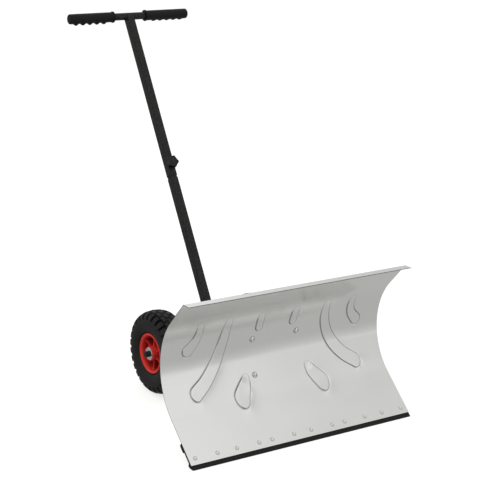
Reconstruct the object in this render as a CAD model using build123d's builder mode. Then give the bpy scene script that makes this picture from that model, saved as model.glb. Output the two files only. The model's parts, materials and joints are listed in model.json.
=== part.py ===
from build123d import *
import os
from math import sin, cos, atan2, radians, degrees, hypot

# Two-wheeled hand plough: a curled blade with a scraper strip, carried on a swivel plate
# and a square beam, with a telescopic handle rising to a handlebar with two grips.
# Frame: +Z up, +X to the right seen from in front of the blade, blade face looks to -Y.
# Ground is z = 0. Millimetres, angles in degrees.

os.makedirs("parts", exist_ok=True)

# ---------------------------------------------------------------- shared dimensions
AXLE_Y = -4.22            # axle position, so that the footprint is centred on the origin
WHEEL_R = 125.0           # tyre radius over the tread, so also the axle height
RUN = 0.05                # radial running clearance
BORE_GAP = 0.1            # radial clearance of bores round bolts and axle
CUT = 700.0               # forward reach of outlines drawn on the XZ plane

BLADE_W = 740.0
SHEET_T = 1.6
BRACKET_T = 3.0
CURL_R = 189.0            # inside radius of the curl
CURL_Y = AXLE_Y - 526.0
CURL_Z = 243.3

BEAM = 30.0               # outside of the square beam
PLATE_T = 5.0             # swivel plate
PIVOT_Y = AXLE_Y - 250.0
PIVOT_R = 5.0
SLOT_R = 70.0             # clamp slot radius round the pivot
CLAMP_Y = PIVOT_Y + SLOT_R
CLAMP_R = 4.0             # clamp bolt

BEAM_TOP = WHEEL_R + BEAM / 2
BEAM_BOTTOM = BEAM_TOP - BEAM
PLATE_TOP = BEAM_TOP + PLATE_T


# ---------------------------------------------------------------- shared helpers
def save(builder, name):
    builder.part.label = name
    export_step(builder.part, f"parts/{name}.step")


def cross_plane(x, y, z, out=1):
    # plane square to the X axis, looking to +X (out = 1) or -X (out = -1)
    return Plane(origin=(x, y, z), x_dir=(0, 1, 0), z_dir=(out, 0, 0))


def axle_plane(x, out=1):
    return cross_plane(x, AXLE_Y, WHEEL_R, out)


def level_plane(y, z):
    return Plane(origin=(0, y, z), x_dir=(1, 0, 0), z_dir=(0, 0, 1))


def profile_plane(side, origin):
    # plane for revolved sections: x outwards on that side, y up from the axis
    return Plane(origin=origin, x_dir=(side, 0, 0), z_dir=(0, -side, 0))


def make_rings(name, planes, outer_r, bore_r, length):
    # round washers, bushes and tubes
    with BuildPart() as rings:
        for plane in planes:
            with BuildSketch(plane):
                Circle(outer_r)
                Circle(bore_r, mode=Mode.SUBTRACT)
            extrude(amount=length)
    save(rings, name)


def make_nuts(name, planes, corner_r, bore_r, height):
    with BuildPart() as nuts:
        for plane in planes:
            with BuildSketch(plane):
                RegularPolygon(corner_r, 6)
                Circle(bore_r, mode=Mode.SUBTRACT)
            extrude(amount=height)
    save(nuts, name)


# ---------------------------------------------------------------- blade section
TOP_LEAN = 42.0           # lean of the flat above the curl
TOP_FLAT = 90.0
TOE_LEAN = 48.8           # lean of the flat below the curl
TOE_FLAT = 137.5
LIP = 26.0                # lip bent forward at the top

side_plane = Plane.YZ.offset(-BLADE_W / 2)
toe_lean = radians(TOE_LEAN)


def curl_point(angle, radius):
    # (y, z) on a circle round the curl centre, angle up from straight back
    return (CURL_Y + radius * cos(radians(angle)), CURL_Z + radius * sin(radians(angle)))


def blade_curve(offset):
    # (y, z) points of the blade section from top to bottom, moved to the front (+) or back (-)
    radius = CURL_R - offset
    curl_top = curl_point(TOP_LEAN, radius)
    curl_mid = curl_point((TOP_LEAN - TOE_LEAN) / 2, radius)
    curl_end = curl_point(-TOE_LEAN, radius)
    top_lean = radians(TOP_LEAN)
    top = (curl_top[0] - TOP_FLAT * sin(top_lean), curl_top[1] + TOP_FLAT * cos(top_lean))
    low = (curl_end[0] - TOE_FLAT * sin(toe_lean), curl_end[1] - TOE_FLAT * cos(toe_lean))
    return top, curl_top, curl_mid, curl_end, low


def blade_section(front_offset, back_offset):
    # closed section between two offsets of the blade curve, without the top lip
    front, back = blade_curve(front_offset), blade_curve(back_offset)
    Line(front[0], front[1])
    ThreePointArc(front[1], front[2], front[3])
    Line(front[3], front[4])
    Line(front[4], back[4])
    Line(back[4], back[3])
    ThreePointArc(back[3], back[2], back[1])
    Line(back[1], back[0])
    Line(back[0], front[0])


top_edge = blade_curve(0)[0]
low_edge = blade_curve(0)[-1]
back_top = blade_curve(-SHEET_T)[0]


def toe_point(up, behind):
    # (y, z) up the toe from the lower edge of the sheet, behind the back face of the sheet
    depth = behind + SHEET_T
    return (low_edge[0] + up * sin(toe_lean) + depth * cos(toe_lean),
            low_edge[1] + up * cos(toe_lean) - depth * sin(toe_lean))


# ---------------------------------------------------------------- blade fastener places
BOLT_X = 75.0
BOLT_Z_HIGH = 257.0
BOLT_Z_LOW = 160.0
BOLT_HOLE_R = 3.3
RIVET_X = (29.0, 102.5, 145.5, 218.0, 280.0, 350.0)
RIVET_UP = 19.5           # rivet line above the lower edge of the sheet, along the toe
RIVET_HOLE_R = 2.5


def curl_plane(x, z):
    # plane on the front face of the curl at height z, looking out of the face
    rise = (z - CURL_Z) / CURL_R
    angle = atan2(rise, (1 - rise * rise) ** 0.5)
    y, z_face = curl_point(degrees(angle), CURL_R)
    return Plane(origin=(x, y, z_face), x_dir=(1, 0, 0), z_dir=(0, -cos(angle), -sin(angle)))


def toe_plane(x, up):
    # plane on the front face of the toe, looking out of the face
    y, z = toe_point(up, -SHEET_T)
    return Plane(origin=(x, y, z), x_dir=(1, 0, 0), z_dir=(0, -cos(toe_lean), sin(toe_lean)))


bolt_planes = [curl_plane(-BOLT_X, BOLT_Z_HIGH), curl_plane(BOLT_X, BOLT_Z_HIGH),
               curl_plane(-BOLT_X, BOLT_Z_LOW)]
rivet_planes = [toe_plane(side * x, RIVET_UP) for side in (-1, 1) for x in RIVET_X]

# ---------------------------------------------------------------- pressed shapes of the blade
PRESS_H = 2.8             # height over the face
# one row per shape, mirrored to the other side: centre line and half width, (x, z, half width)
PRESSES = [
    [(167, 333, 10), (168, 306, 12.5), (173, 272, 14.5), (186, 231, 16),
     (206, 198, 17.5), (236, 166, 18), (271, 143, 18)],
    [(258, 333, 9.5), (258, 308, 11), (266, 283, 13), (286, 259.5, 16)],
    [(58.5, 328, 10.5), (58, 310, 11), (57.5, 292, 10.5)],
    [(106, 155, 10.5), (116, 137, 17), (136, 113, 21.5)],
]


def press_outline(stations, side, inset):
    # two splines beside the centre line, closed by a round head and tail
    centres = [(side * x, z) for x, z, _ in stations]
    widths = [half - inset for _, _, half in stations]
    courses = []
    for i in range(len(centres)):
        before = centres[max(i - 1, 0)]
        after = centres[min(i + 1, len(centres) - 1)]
        run_x, run_z = after[0] - before[0], after[1] - before[1]
        length = hypot(run_x, run_z)
        courses.append((run_x / length, run_z / length))
    rows = list(zip(centres, courses, widths))
    left = [(c[0] - d[1] * w, c[1] + d[0] * w) for c, d, w in rows]
    right = [(c[0] + d[1] * w, c[1] - d[0] * w) for c, d, w in rows]
    centre, course, width = rows[0]
    head = (centre[0] - course[0] * width, centre[1] - course[1] * width)
    centre, course, width = rows[-1]
    tail = (centre[0] + course[0] * width, centre[1] + course[1] * width)
    Spline(*left)
    ThreePointArc(left[-1], tail, right[-1])
    Spline(*right[::-1])
    ThreePointArc(right[0], head, left[0])


def press_solids(front_offset, inset, hollow=None):
    # all pressed shapes as solids, with the sketch of their outlines
    with BuildPart() as solids:
        with BuildSketch(side_plane):
            with BuildLine():
                blade_section(front_offset, -SHEET_T)
            make_face()
        extrude(amount=BLADE_W)
        with BuildSketch(Plane.XZ) as outlines:
            for side in (-1, 1):
                for stations in PRESSES:
                    with BuildLine():
                        press_outline(stations, side, inset)
                    make_face()
        extrude(to_extrude=outlines.sketch, amount=CUT, mode=Mode.INTERSECT)
        if hollow is not None:
            add(hollow, mode=Mode.SUBTRACT)
    return solids.part, outlines.sketch


press_voids, _ = press_solids(PRESS_H - SHEET_T, SHEET_T)
press_pads, press_outlines = press_solids(PRESS_H, 0, press_voids)

# ---------------------------------------------------------------- blade sheet
lip_bend = radians((90 - TOP_LEAN) / 2)     # middle of the bend's outer arc, from upright

with BuildPart() as blade_sheet:
    with BuildSketch(side_plane):
        with BuildLine():
            blade_section(0, -SHEET_T)
        make_face()
        # lip bent forward along the top
        y, z = top_edge
        with BuildLine():
            Polyline((y, z), (y - LIP, z), (y - LIP, z + SHEET_T), (y, z + SHEET_T))
            ThreePointArc((y, z + SHEET_T),
                          (y + SHEET_T * sin(lip_bend), z + SHEET_T * cos(lip_bend)),
                          back_top)
            Line(back_top, top_edge)
        make_face()
    extrude(amount=BLADE_W)
    # the flat sheet gives way to the hollow pressed shapes
    extrude(to_extrude=press_outlines, amount=CUT, mode=Mode.SUBTRACT)
    add(press_pads)
    for plane in bolt_planes:
        with BuildSketch(plane):
            Circle(BOLT_HOLE_R)
        extrude(amount=10, both=True, mode=Mode.SUBTRACT)
    for plane in rivet_planes:
        with BuildSketch(plane):
            Circle(RIVET_HOLE_R)
        extrude(amount=5, both=True, mode=Mode.SUBTRACT)
save(blade_sheet, "blade_sheet")

# ---------------------------------------------------------------- scraper strip and rivets
STRIP_T = 6.0             # thin web of the strip
# rubber section: bead along the top, thin web, heel and flat foot,
# as (up the toe, behind the sheet)
STRIP_SECTION = [
    (-22, 0), (68, 0), (68, 9), (65, 12), (48, 12.5), (44, 11), (43, STRIP_T),
    (13, STRIP_T), (9, 8), (8, 13), (4, 13), (-4.5, 9.4), (-22, 9.4),
]
RIVET_R = 2.4
RIVET_HEAD_R = 4.6
RIVET_HEAD_H = 1.9
RIVET_HEAD_TAPER = 38
RIVET_TAIL_R = 4.2
RIVET_TAIL_H = 1.5

with BuildPart() as scraper_strip:
    with BuildSketch(side_plane):
        with BuildLine():
            Polyline(*[toe_point(up, behind) for up, behind in STRIP_SECTION], close=True)
        make_face()
    extrude(amount=BLADE_W)
    # worn level with the ground
    with BuildSketch(Plane.XY):
        Rectangle(2000, 2000)
    extrude(amount=-60, mode=Mode.SUBTRACT)
    for plane in rivet_planes:
        with BuildSketch(plane):
            Circle(RIVET_HOLE_R)
        extrude(amount=20, both=True, mode=Mode.SUBTRACT)
save(scraper_strip, "scraper_strip")

with BuildPart() as scraper_rivets:
    for plane in rivet_planes:
        rivet_back = plane.offset(-SHEET_T - STRIP_T)
        with BuildSketch(rivet_back):
            Circle(RIVET_R)
        extrude(amount=SHEET_T + STRIP_T)
        with BuildSketch(plane):
            Circle(RIVET_HEAD_R)
        extrude(amount=RIVET_HEAD_H, taper=RIVET_HEAD_TAPER)
        with BuildSketch(rivet_back):
            Circle(RIVET_TAIL_R)
        extrude(amount=-RIVET_TAIL_H)
save(scraper_rivets, "scraper_rivets")

# ---------------------------------------------------------------- blade bracket
BRACKET_W = 190.0
BRACKET_TOP = 9.5         # angles of its edges round the curl
BRACKET_LOW = -34.0
# (x, z) of the lower right corner, cut away so that the bracket has three feet
BRACKET_CUT = [(62, 100), (62, 178), (96, 212), (120, 212), (120, 100)]
RIB_T = 4.0
RIB_X = (-50, 46)         # left face of each rib
RIB_BACK_Y = PIVOT_Y - 42
RIB_BACK_H = 8.0
RIB_FRONT_H = 92.0
bracket_back_r = CURL_R + SHEET_T + BRACKET_T

with BuildPart() as bracket_plate:
    with BuildSketch(Plane.YZ.offset(-BRACKET_W / 2)):
        with BuildLine():
            front_r = CURL_R + SHEET_T
            mid = (BRACKET_TOP + BRACKET_LOW) / 2
            ThreePointArc(curl_point(BRACKET_TOP, front_r), curl_point(mid, front_r),
                          curl_point(BRACKET_LOW, front_r))
            Line(curl_point(BRACKET_LOW, front_r), curl_point(BRACKET_LOW, bracket_back_r))
            ThreePointArc(curl_point(BRACKET_LOW, bracket_back_r),
                          curl_point(mid, bracket_back_r),
                          curl_point(BRACKET_TOP, bracket_back_r))
            Line(curl_point(BRACKET_TOP, bracket_back_r), curl_point(BRACKET_TOP, front_r))
        make_face()
    extrude(amount=BRACKET_W)
    with BuildSketch(Plane.XZ):
        with BuildLine():
            Polyline(*BRACKET_CUT, close=True)
        make_face()
    extrude(amount=CUT, mode=Mode.SUBTRACT)
    for plane in bolt_planes:
        with BuildSketch(plane):
            Circle(BOLT_HOLE_R)
        extrude(amount=20, both=True, mode=Mode.SUBTRACT)
save(bracket_plate, "bracket_plate")

# upright ribs on the swivel plate, hollowed to the back of the bracket
with BuildPart() as bracket_ribs:
    for x in RIB_X:
        with BuildSketch(Plane.YZ.offset(x)):
            with BuildLine():
                Polyline((RIB_BACK_Y, PLATE_TOP), (CURL_Y + 130, PLATE_TOP),
                         (CURL_Y + 130, PLATE_TOP + RIB_FRONT_H),
                         (CURL_Y + 201, PLATE_TOP + RIB_FRONT_H),
                         (RIB_BACK_Y, PLATE_TOP + RIB_BACK_H), close=True)
            make_face()
        extrude(amount=RIB_T)
    with BuildSketch(Plane.YZ.offset(-200)):
        with Locations((CURL_Y, CURL_Z)):
            Circle(bracket_back_r)
    extrude(amount=400, mode=Mode.SUBTRACT)
save(bracket_ribs, "bracket_ribs")

# ---------------------------------------------------------------- swivel plate
SWING = 30.0              # blade swing each way
SWING_SPARE = 2.0         # further slot at each end
SLOT_W = 8.8
QUADRANT_R = 86.0         # round back edge
QUADRANT_HALF = 44.0      # half angle of the back edge
PLATE_FRONT_X = 72.0      # half widths at the front and at the pivot
PLATE_PIVOT_X = 34.0

with BuildPart() as swivel_plate:
    with BuildSketch(Plane.XY.offset(BEAM_TOP)):
        with BuildLine():
            corner_x = QUADRANT_R * sin(radians(QUADRANT_HALF))
            corner_y = PIVOT_Y + QUADRANT_R * cos(radians(QUADRANT_HALF))
            Polyline((-PLATE_FRONT_X, CURL_Y + 120), (PLATE_FRONT_X, CURL_Y + 120),
                     (PLATE_PIVOT_X, PIVOT_Y), (corner_x, corner_y), (0, PIVOT_Y + 110),
                     (-corner_x, corner_y), (-PLATE_PIVOT_X, PIVOT_Y), close=True)
        make_face()
    extrude(amount=PLATE_T)
    # round quadrant edge
    with BuildSketch(Plane.XY.offset(BEAM_TOP)):
        with Locations((0, PIVOT_Y + 200)):
            Rectangle(400, 400)
        with Locations((0, PIVOT_Y)):
            Circle(QUADRANT_R, mode=Mode.SUBTRACT)
    extrude(amount=PLATE_T, mode=Mode.SUBTRACT)
    # front edge hollowed to the back of the bracket
    with BuildSketch(Plane.YZ.offset(-200)):
        with Locations((CURL_Y, CURL_Z)):
            Circle(bracket_back_r)
    extrude(amount=400, mode=Mode.SUBTRACT)
    # pivot hole and curved clamp slot
    with BuildSketch(Plane.XY.offset(BEAM_TOP)):
        with Locations((0, PIVOT_Y)):
            Circle(PIVOT_R + RUN)
        with BuildLine(mode=Mode.PRIVATE) as slot_line:
            CenterArc((0, PIVOT_Y), SLOT_R, 90 - SWING - SWING_SPARE,
                      2 * (SWING + SWING_SPARE))
        SlotArc(slot_line.edges()[0], SLOT_W)
    extrude(amount=PLATE_T, mode=Mode.SUBTRACT)
save(swivel_plate, "swivel_plate")

# ---------------------------------------------------------------- blade bolts
BOLT_R = 3.0
BOLT_TAIL = 12.0          # bolt behind the bracket
HEAD_GAP = 0.17           # the flat of the head clears the hollow of the sheet
HEAD_RIM_R = 7.4
HEAD_RIM_H = 1.2
HEAD_DOME_R = 7.1
HEAD_DOME_H = 2.4
WASHER_GAP = 0.3
BLADE_WASHER_T = 1.5
bolt_grip = SHEET_T + BRACKET_T

# carriage bolts through the sheet and the bracket, nuts behind
with BuildPart() as blade_bolts:
    for plane in bolt_planes:
        with BuildSketch(plane.offset(-bolt_grip - BOLT_TAIL)):
            Circle(BOLT_R)
        extrude(amount=bolt_grip + BOLT_TAIL)
        with BuildSketch(plane):
            Circle(BOLT_R)
        extrude(amount=HEAD_GAP)
        with BuildSketch(plane.offset(HEAD_GAP)):
            Circle(HEAD_RIM_R)
        extrude(amount=HEAD_RIM_H, taper=12)
        with BuildSketch(plane.offset(HEAD_GAP + HEAD_RIM_H)):
            Circle(HEAD_DOME_R)
        extrude(amount=HEAD_DOME_H, taper=48)
save(blade_bolts, "blade_bolts")

make_rings("blade_washers", [plane.offset(-bolt_grip - WASHER_GAP) for plane in bolt_planes],
           outer_r=7.0, bore_r=3.2, length=-BLADE_WASHER_T)
make_nuts("blade_nuts",
          [plane.offset(-bolt_grip - WASHER_GAP - BLADE_WASHER_T) for plane in bolt_planes],
          corner_r=5.77, bore_r=3.02, height=-6.0)

# ---------------------------------------------------------------- beam
BEAM_WALL = 2.0
BEAM_ROUND = 3.0
BEAM_FRONT = PIVOT_Y - 27
BEAM_BACK = AXLE_Y + 26
PLUG_DEPTH = 9.0
PLUG_CAP = 2.5
AXLE_TUBE_R = 11.0

with BuildPart() as chassis_beam:
    with BuildSketch(Plane.XZ.offset(-BEAM_BACK)):
        with Locations((0, WHEEL_R)):
            RectangleRounded(BEAM, BEAM, BEAM_ROUND)
            RectangleRounded(BEAM - 2 * BEAM_WALL, BEAM - 2 * BEAM_WALL, 1.5,
                             mode=Mode.SUBTRACT)
    extrude(amount=BEAM_BACK - BEAM_FRONT)
    # holes for the pivot and clamp bolts, then for the axle tube
    with BuildSketch(Plane.XY.offset(WHEEL_R - 20)):
        with Locations((0, PIVOT_Y)):
            Circle(PIVOT_R + BORE_GAP)
        with Locations((0, CLAMP_Y)):
            Circle(CLAMP_R + BORE_GAP)
    extrude(amount=40, mode=Mode.SUBTRACT)
    with BuildSketch(axle_plane(-20)):
        Circle(AXLE_TUBE_R)
    extrude(amount=40, mode=Mode.SUBTRACT)
save(chassis_beam, "chassis_beam")

plug_size = BEAM - 2 * (BEAM_WALL + BORE_GAP)
with BuildPart() as beam_plugs:
    for end_y, inward in ((BEAM_FRONT, 1), (BEAM_BACK, -1)):
        end_plane = Plane(origin=(0, end_y, WHEEL_R), x_dir=(1, 0, 0), z_dir=(0, inward, 0))
        with BuildSketch(end_plane):
            RectangleRounded(plug_size, plug_size, 1.4)
        extrude(amount=PLUG_DEPTH)
        with BuildSketch(end_plane):
            RectangleRounded(BEAM, BEAM, BEAM_ROUND)
        extrude(amount=-PLUG_CAP)
save(beam_plugs, "beam_plugs")

# ---------------------------------------------------------------- axle
AXLE_R = 6.0
AXLE_END = 213.0          # half length of the rod
AXLE_TUBE_X = 127.0       # half length of the tube
AXLE_WASHER_T = 2.0
HUB_GAP = 0.3             # end play at each side of the hub
HUB_IN = AXLE_TUBE_X + AXLE_WASHER_T + HUB_GAP
HUB_OUT = 203.0
BUSH_FLANGE = 3.0
CAP_X = HUB_OUT + BUSH_FLANGE + HUB_GAP
CAP_R = 9.0
CAP_LEN = 12.5
CAP_ROUND = 3.0

make_rings("axle_tube", [axle_plane(-AXLE_TUBE_X)],
           outer_r=AXLE_TUBE_R, bore_r=AXLE_R + BORE_GAP, length=2 * AXLE_TUBE_X)
make_rings("axle_washers", [axle_plane(side * AXLE_TUBE_X, side) for side in (-1, 1)],
           outer_r=15.0, bore_r=AXLE_R + BORE_GAP, length=AXLE_WASHER_T)

with BuildPart() as axle_rod:
    with BuildSketch(axle_plane(-AXLE_END)):
        Circle(AXLE_R)
    extrude(amount=2 * AXLE_END)
    chamfer(axle_rod.edges().filter_by(GeomType.CIRCLE), 1.0)
save(axle_rod, "axle_rod")

with BuildPart() as axle_caps:
    for side in (-1, 1):
        with BuildSketch(axle_plane(side * CAP_X, side)):
            Circle(CAP_R)
        extrude(amount=CAP_LEN)
        outer_face = axle_caps.faces().sort_by(Axis.X)[-1 if side > 0 else 0]
        fillet(outer_face.edges(), CAP_ROUND)
        with BuildSketch(axle_plane(side * CAP_X, side)):
            Circle(AXLE_R)
        extrude(amount=AXLE_END - CAP_X, mode=Mode.SUBTRACT)
save(axle_caps, "axle_caps")

# ---------------------------------------------------------------- pivot and clamp bolts
PLATE_GAP = 0.2           # under and over the clamp washer, under the pivot washer
PIVOT_WASHER_T = 2.0
PIVOT_HEX_R = 9.8         # head and nut, over the corners
PIVOT_TAIL = 8.0          # bolt below the beam
PIVOT_HEAD_UP = 2.3       # underside of the head above the plate
PIVOT_HEAD_H = 6.4
CLAMP_WASHER_T = 1.8
CLAMP_RISE = 19.0         # bolt above the plate
CLAMP_HEX_R = 7.5
CLAMP_HEAD_H = 5.3
CLAMP_TOP = PLATE_TOP + CLAMP_WASHER_T + 2 * PLATE_GAP

# pivot bolt through the beam and the swivel plate, head on top
with BuildPart() as pivot_bolt:
    with BuildSketch(level_plane(PIVOT_Y, BEAM_BOTTOM - PIVOT_TAIL)):
        Circle(PIVOT_R)
    extrude(amount=PIVOT_TAIL + BEAM + PLATE_T + PIVOT_HEAD_UP)
    with BuildSketch(level_plane(PIVOT_Y, PLATE_TOP + PIVOT_HEAD_UP)):
        RegularPolygon(PIVOT_HEX_R, 6)
    extrude(amount=PIVOT_HEAD_H)
save(pivot_bolt, "pivot_bolt")

make_rings("pivot_washer", [level_plane(PIVOT_Y, PLATE_TOP + PLATE_GAP)],
           outer_r=12.0, bore_r=PIVOT_R + BORE_GAP, length=PIVOT_WASHER_T)
make_nuts("pivot_nut", [level_plane(PIVOT_Y, BEAM_BOTTOM)],
          corner_r=PIVOT_HEX_R, bore_r=PIVOT_R + 0.02, height=-7.0)

# clamp bolt stands up through the beam and the curved slot, head underneath
with BuildPart() as clamp_bolt:
    with BuildSketch(level_plane(CLAMP_Y, BEAM_BOTTOM)):
        Circle(CLAMP_R)
    extrude(amount=BEAM + PLATE_T + CLAMP_RISE)
    with BuildSketch(level_plane(CLAMP_Y, BEAM_BOTTOM)):
        RegularPolygon(CLAMP_HEX_R, 6)
    extrude(amount=-CLAMP_HEAD_H)
save(clamp_bolt, "clamp_bolt")

make_rings("clamp_washer", [level_plane(CLAMP_Y, PLATE_TOP + PLATE_GAP)],
           outer_r=11.0, bore_r=CLAMP_R + BORE_GAP, length=CLAMP_WASHER_T)

# ---------------------------------------------------------------- knobs
KNOB_R = 21.4             # five-sided knob, over its corners before rounding
KNOB_TURN = 65.0          # where the first corner stands
KNOB_HOLLOW = 1.2         # depth of the hollow in each side
KNOB_H = 11.0
KNOB_CORNER = 4.0
KNOB_EDGE = 2.4


def knob_lines():
    # five hollowed sides between five corners
    hollow_r = KNOB_R * cos(radians(36)) - KNOB_HOLLOW
    for k in range(5):
        start, mid, end = (radians(KNOB_TURN + 72 * k + turn) for turn in (0, 36, 72))
        ThreePointArc((KNOB_R * cos(start), KNOB_R * sin(start)),
                      (hollow_r * cos(mid), hollow_r * sin(mid)),
                      (KNOB_R * cos(end), KNOB_R * sin(end)))


def make_knob(name, base, neck_r, neck_h, bore_r, bore_depth):
    with BuildPart() as knob:
        with BuildSketch(base):
            Circle(neck_r)
        extrude(amount=neck_h)
        with BuildSketch(base.offset(neck_h)) as star:
            with BuildLine():
                knob_lines()
            make_face()
            fillet(star.vertices(), KNOB_CORNER)
        extrude(amount=KNOB_H)
        end_face = knob.faces().sort_by(Axis(base.origin, base.z_dir))[-1]
        fillet(end_face.edges(), KNOB_EDGE)
        with BuildSketch(base):
            Circle(bore_r)
        extrude(amount=bore_depth, mode=Mode.SUBTRACT)
    save(knob, name)


make_knob("angle_knob", level_plane(CLAMP_Y, CLAMP_TOP), neck_r=9.5, neck_h=9.0,
          bore_r=CLAMP_R + RUN, bore_depth=17.0)

# ---------------------------------------------------------------- handle
FOOT_Y = AXLE_Y - 60.5    # handle axis at axle height
BAR_Y = AXLE_Y + 505.5    # handlebar centre
BAR_Z = 1036.0
BAR_R = 11.25
BAR_LEN = 416.0           # over the grips
TUBE = 25.0               # outside of the square handle tube
TUBE_ROUND = 3.0          # its outside corners
WALL = 1.5
INNER = 21.84             # outside of the square inner tube
INNER_DOWN = 120.0        # inner tube below and above the joint
INNER_UP = 290.0
# places along the handle axis, from axle height
JOINT_S = 544.0           # lower end of the upper tube
JOINT_GAP = 6.0           # inner tube showing between the two tubes
STUD_S = 583.0            # clamp knob
FOOT_SPARE = 10.0         # tube below axle height and past the bar axis, before trimming
TOP_SPARE = 4.0
SADDLE_CUT = 60.0

lean = atan2(BAR_Y - FOOT_Y, BAR_Z - WHEEL_R)
handle_len = hypot(BAR_Y - FOOT_Y, BAR_Z - WHEEL_R)


def along(distance):
    return (0, FOOT_Y + distance * sin(lean), WHEEL_R + distance * cos(lean))


def tube_plane(distance):
    return Plane(origin=along(distance), x_dir=(1, 0, 0), z_dir=(0, sin(lean), cos(lean)))


def tube_outline():
    RectangleRounded(TUBE, TUBE, TUBE_ROUND)
    RectangleRounded(TUBE - 2 * WALL, TUBE - 2 * WALL, TUBE_ROUND - WALL, mode=Mode.SUBTRACT)


def bar_point(across, up):
    # (y, z) from the handlebar centre, across the handle to the back and up along it
    return (BAR_Y + across * cos(lean) + up * sin(lean),
            BAR_Z - across * sin(lean) + up * cos(lean))


with BuildPart() as handle_lower_tube:
    with BuildSketch(tube_plane(-FOOT_SPARE)):
        tube_outline()
    extrude(amount=JOINT_S - JOINT_GAP + FOOT_SPARE)
    # foot is cut level and stands on the beam
    with BuildSketch(level_plane(FOOT_Y, BEAM_TOP)):
        Rectangle(200, 200)
    extrude(amount=-80, mode=Mode.SUBTRACT)
save(handle_lower_tube, "handle_lower_tube")

with BuildPart() as handle_inner_tube:
    with BuildSketch(tube_plane(JOINT_S - INNER_DOWN)):
        RectangleRounded(INNER, INNER, TUBE_ROUND - WALL + 0.2)
        RectangleRounded(INNER - 2 * WALL, INNER - 2 * WALL, 0.5, mode=Mode.SUBTRACT)
    extrude(amount=INNER_DOWN + INNER_UP)
save(handle_inner_tube, "handle_inner_tube")

# on the handle axis, looking out of the front of the tube
stud_plane = Plane(origin=along(STUD_S), x_dir=(1, 0, 0), z_dir=(0, -cos(lean), sin(lean)))
STUD_R = 4.0

with BuildPart() as handle_upper_tube:
    with BuildSketch(tube_plane(JOINT_S)):
        tube_outline()
    extrude(amount=handle_len - JOINT_S + TOP_SPARE)
    # top end is saddled to the handlebar
    with BuildSketch(Plane.YZ.offset(-30)):
        with Locations((BAR_Y, BAR_Z)):
            Circle(BAR_R)
        with BuildLine():
            Polyline(bar_point(-SADDLE_CUT, 0), bar_point(SADDLE_CUT, 0),
                     bar_point(SADDLE_CUT, SADDLE_CUT), bar_point(-SADDLE_CUT, SADDLE_CUT),
                     close=True)
        make_face()
    extrude(amount=60, mode=Mode.SUBTRACT)
    with BuildSketch(stud_plane):
        Circle(STUD_R + BORE_GAP)
    extrude(amount=TUBE, mode=Mode.SUBTRACT)
save(handle_upper_tube, "handle_upper_tube")

# ---------------------------------------------------------------- height clamp
NUT_H = 4.0
KNOB_BASE = TUBE / 2 + NUT_H + 0.5
STUD_START = INNER / 2 + 0.05     # just clear of the inner tube
STUD_IN = 10.0                    # stud length inside the knob

make_rings("handle_weld_nut", [stud_plane.offset(TUBE / 2)],
           outer_r=9.0, bore_r=STUD_R + RUN, length=NUT_H)

with BuildPart() as height_knob_stud:
    with BuildSketch(stud_plane.offset(STUD_START)):
        Circle(STUD_R)
    extrude(amount=KNOB_BASE + STUD_IN - STUD_START)
save(height_knob_stud, "height_knob_stud")

make_knob("height_knob", stud_plane.offset(KNOB_BASE), neck_r=10.0, neck_h=3,
          bore_r=STUD_R, bore_depth=STUD_IN)

# ---------------------------------------------------------------- handlebar and grips
GRIP_R = 15.5
GRIP_LEN = 153.0
GRIP_END = 3.0            # thickness of the closed end
GRIP_ROUND = 5.0          # round of the closed end
GRIP_ROUND_MID = 1.46     # inset of the middle of that round
COLLAR_H = 2.0            # collar at the inner end of the grip
GRIP_BUMP = 5.2           # finger swellings over the sleeve
BUMP_R = 11.5             # swelling radius about its own lowered axis
BUMP_DROP = GRIP_R + GRIP_BUMP - BUMP_R
BUMP_HALF = 8.8           # half length of a swelling
BUMP_FALL = 6.0           # drop from its crown to its ends
BUMP_X = [BAR_LEN / 2 - 23.0 - 23.9 * i for i in range(5)]
LEFT_TURN = -10.0         # side the swellings point to: 0 down, + to the back, - to the front
RIGHT_TURN = 38.0
half_bar = BAR_LEN / 2 - GRIP_END

make_rings("handlebar", [cross_plane(-half_bar, BAR_Y, BAR_Z)],
           outer_r=BAR_R, bore_r=BAR_R - WALL, length=2 * half_bar)


def grip_lines():
    # half section of the grip sleeve, x outwards along the bar, y away from its axis
    start, end = BAR_LEN / 2 - GRIP_LEN, BAR_LEN / 2
    collar_r = GRIP_R + COLLAR_H
    Polyline((start, BAR_R), (start, collar_r), (start + 4, collar_r), (start + 5.5, GRIP_R),
             (end - GRIP_ROUND, GRIP_R))
    ThreePointArc((end - GRIP_ROUND, GRIP_R), (end - GRIP_ROUND_MID, GRIP_R - GRIP_ROUND_MID),
                  (end, GRIP_R - GRIP_ROUND))
    Polyline((end, GRIP_R - GRIP_ROUND), (end, 0), (half_bar, 0), (half_bar, BAR_R),
             (start, BAR_R))


def bump_lines(x):
    # half section of one rounded finger swelling
    start, end, end_r = x - BUMP_HALF, x + BUMP_HALF, BUMP_R - BUMP_FALL
    ThreePointArc((start, end_r), (x, BUMP_R), (end, end_r))
    Polyline((end, end_r), (end, 0), (start, 0), (start, end_r))


def make_grip(name, side, turn):
    bar_origin = (0, BAR_Y, BAR_Z)
    bump_origin = (0, BAR_Y + BUMP_DROP * sin(radians(turn)),
                   BAR_Z - BUMP_DROP * cos(radians(turn)))
    with BuildPart() as grip:
        with BuildSketch(profile_plane(side, bar_origin)):
            with BuildLine():
                grip_lines()
            make_face()
        revolve(axis=Axis(bar_origin, (1, 0, 0)))
        for x in BUMP_X:
            with BuildSketch(profile_plane(side, bump_origin)):
                with BuildLine():
                    bump_lines(x)
                make_face()
            revolve(axis=Axis(bump_origin, (1, 0, 0)))
        # room for the bar
        with BuildSketch(Plane.YZ):
            with Locations((BAR_Y, BAR_Z)):
                Circle(BAR_R)
        extrude(amount=side * half_bar, mode=Mode.SUBTRACT)
    save(grip, name)


make_grip("right_grip", 1, RIGHT_TURN)
make_grip("left_grip", -1, LEFT_TURN)

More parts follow.
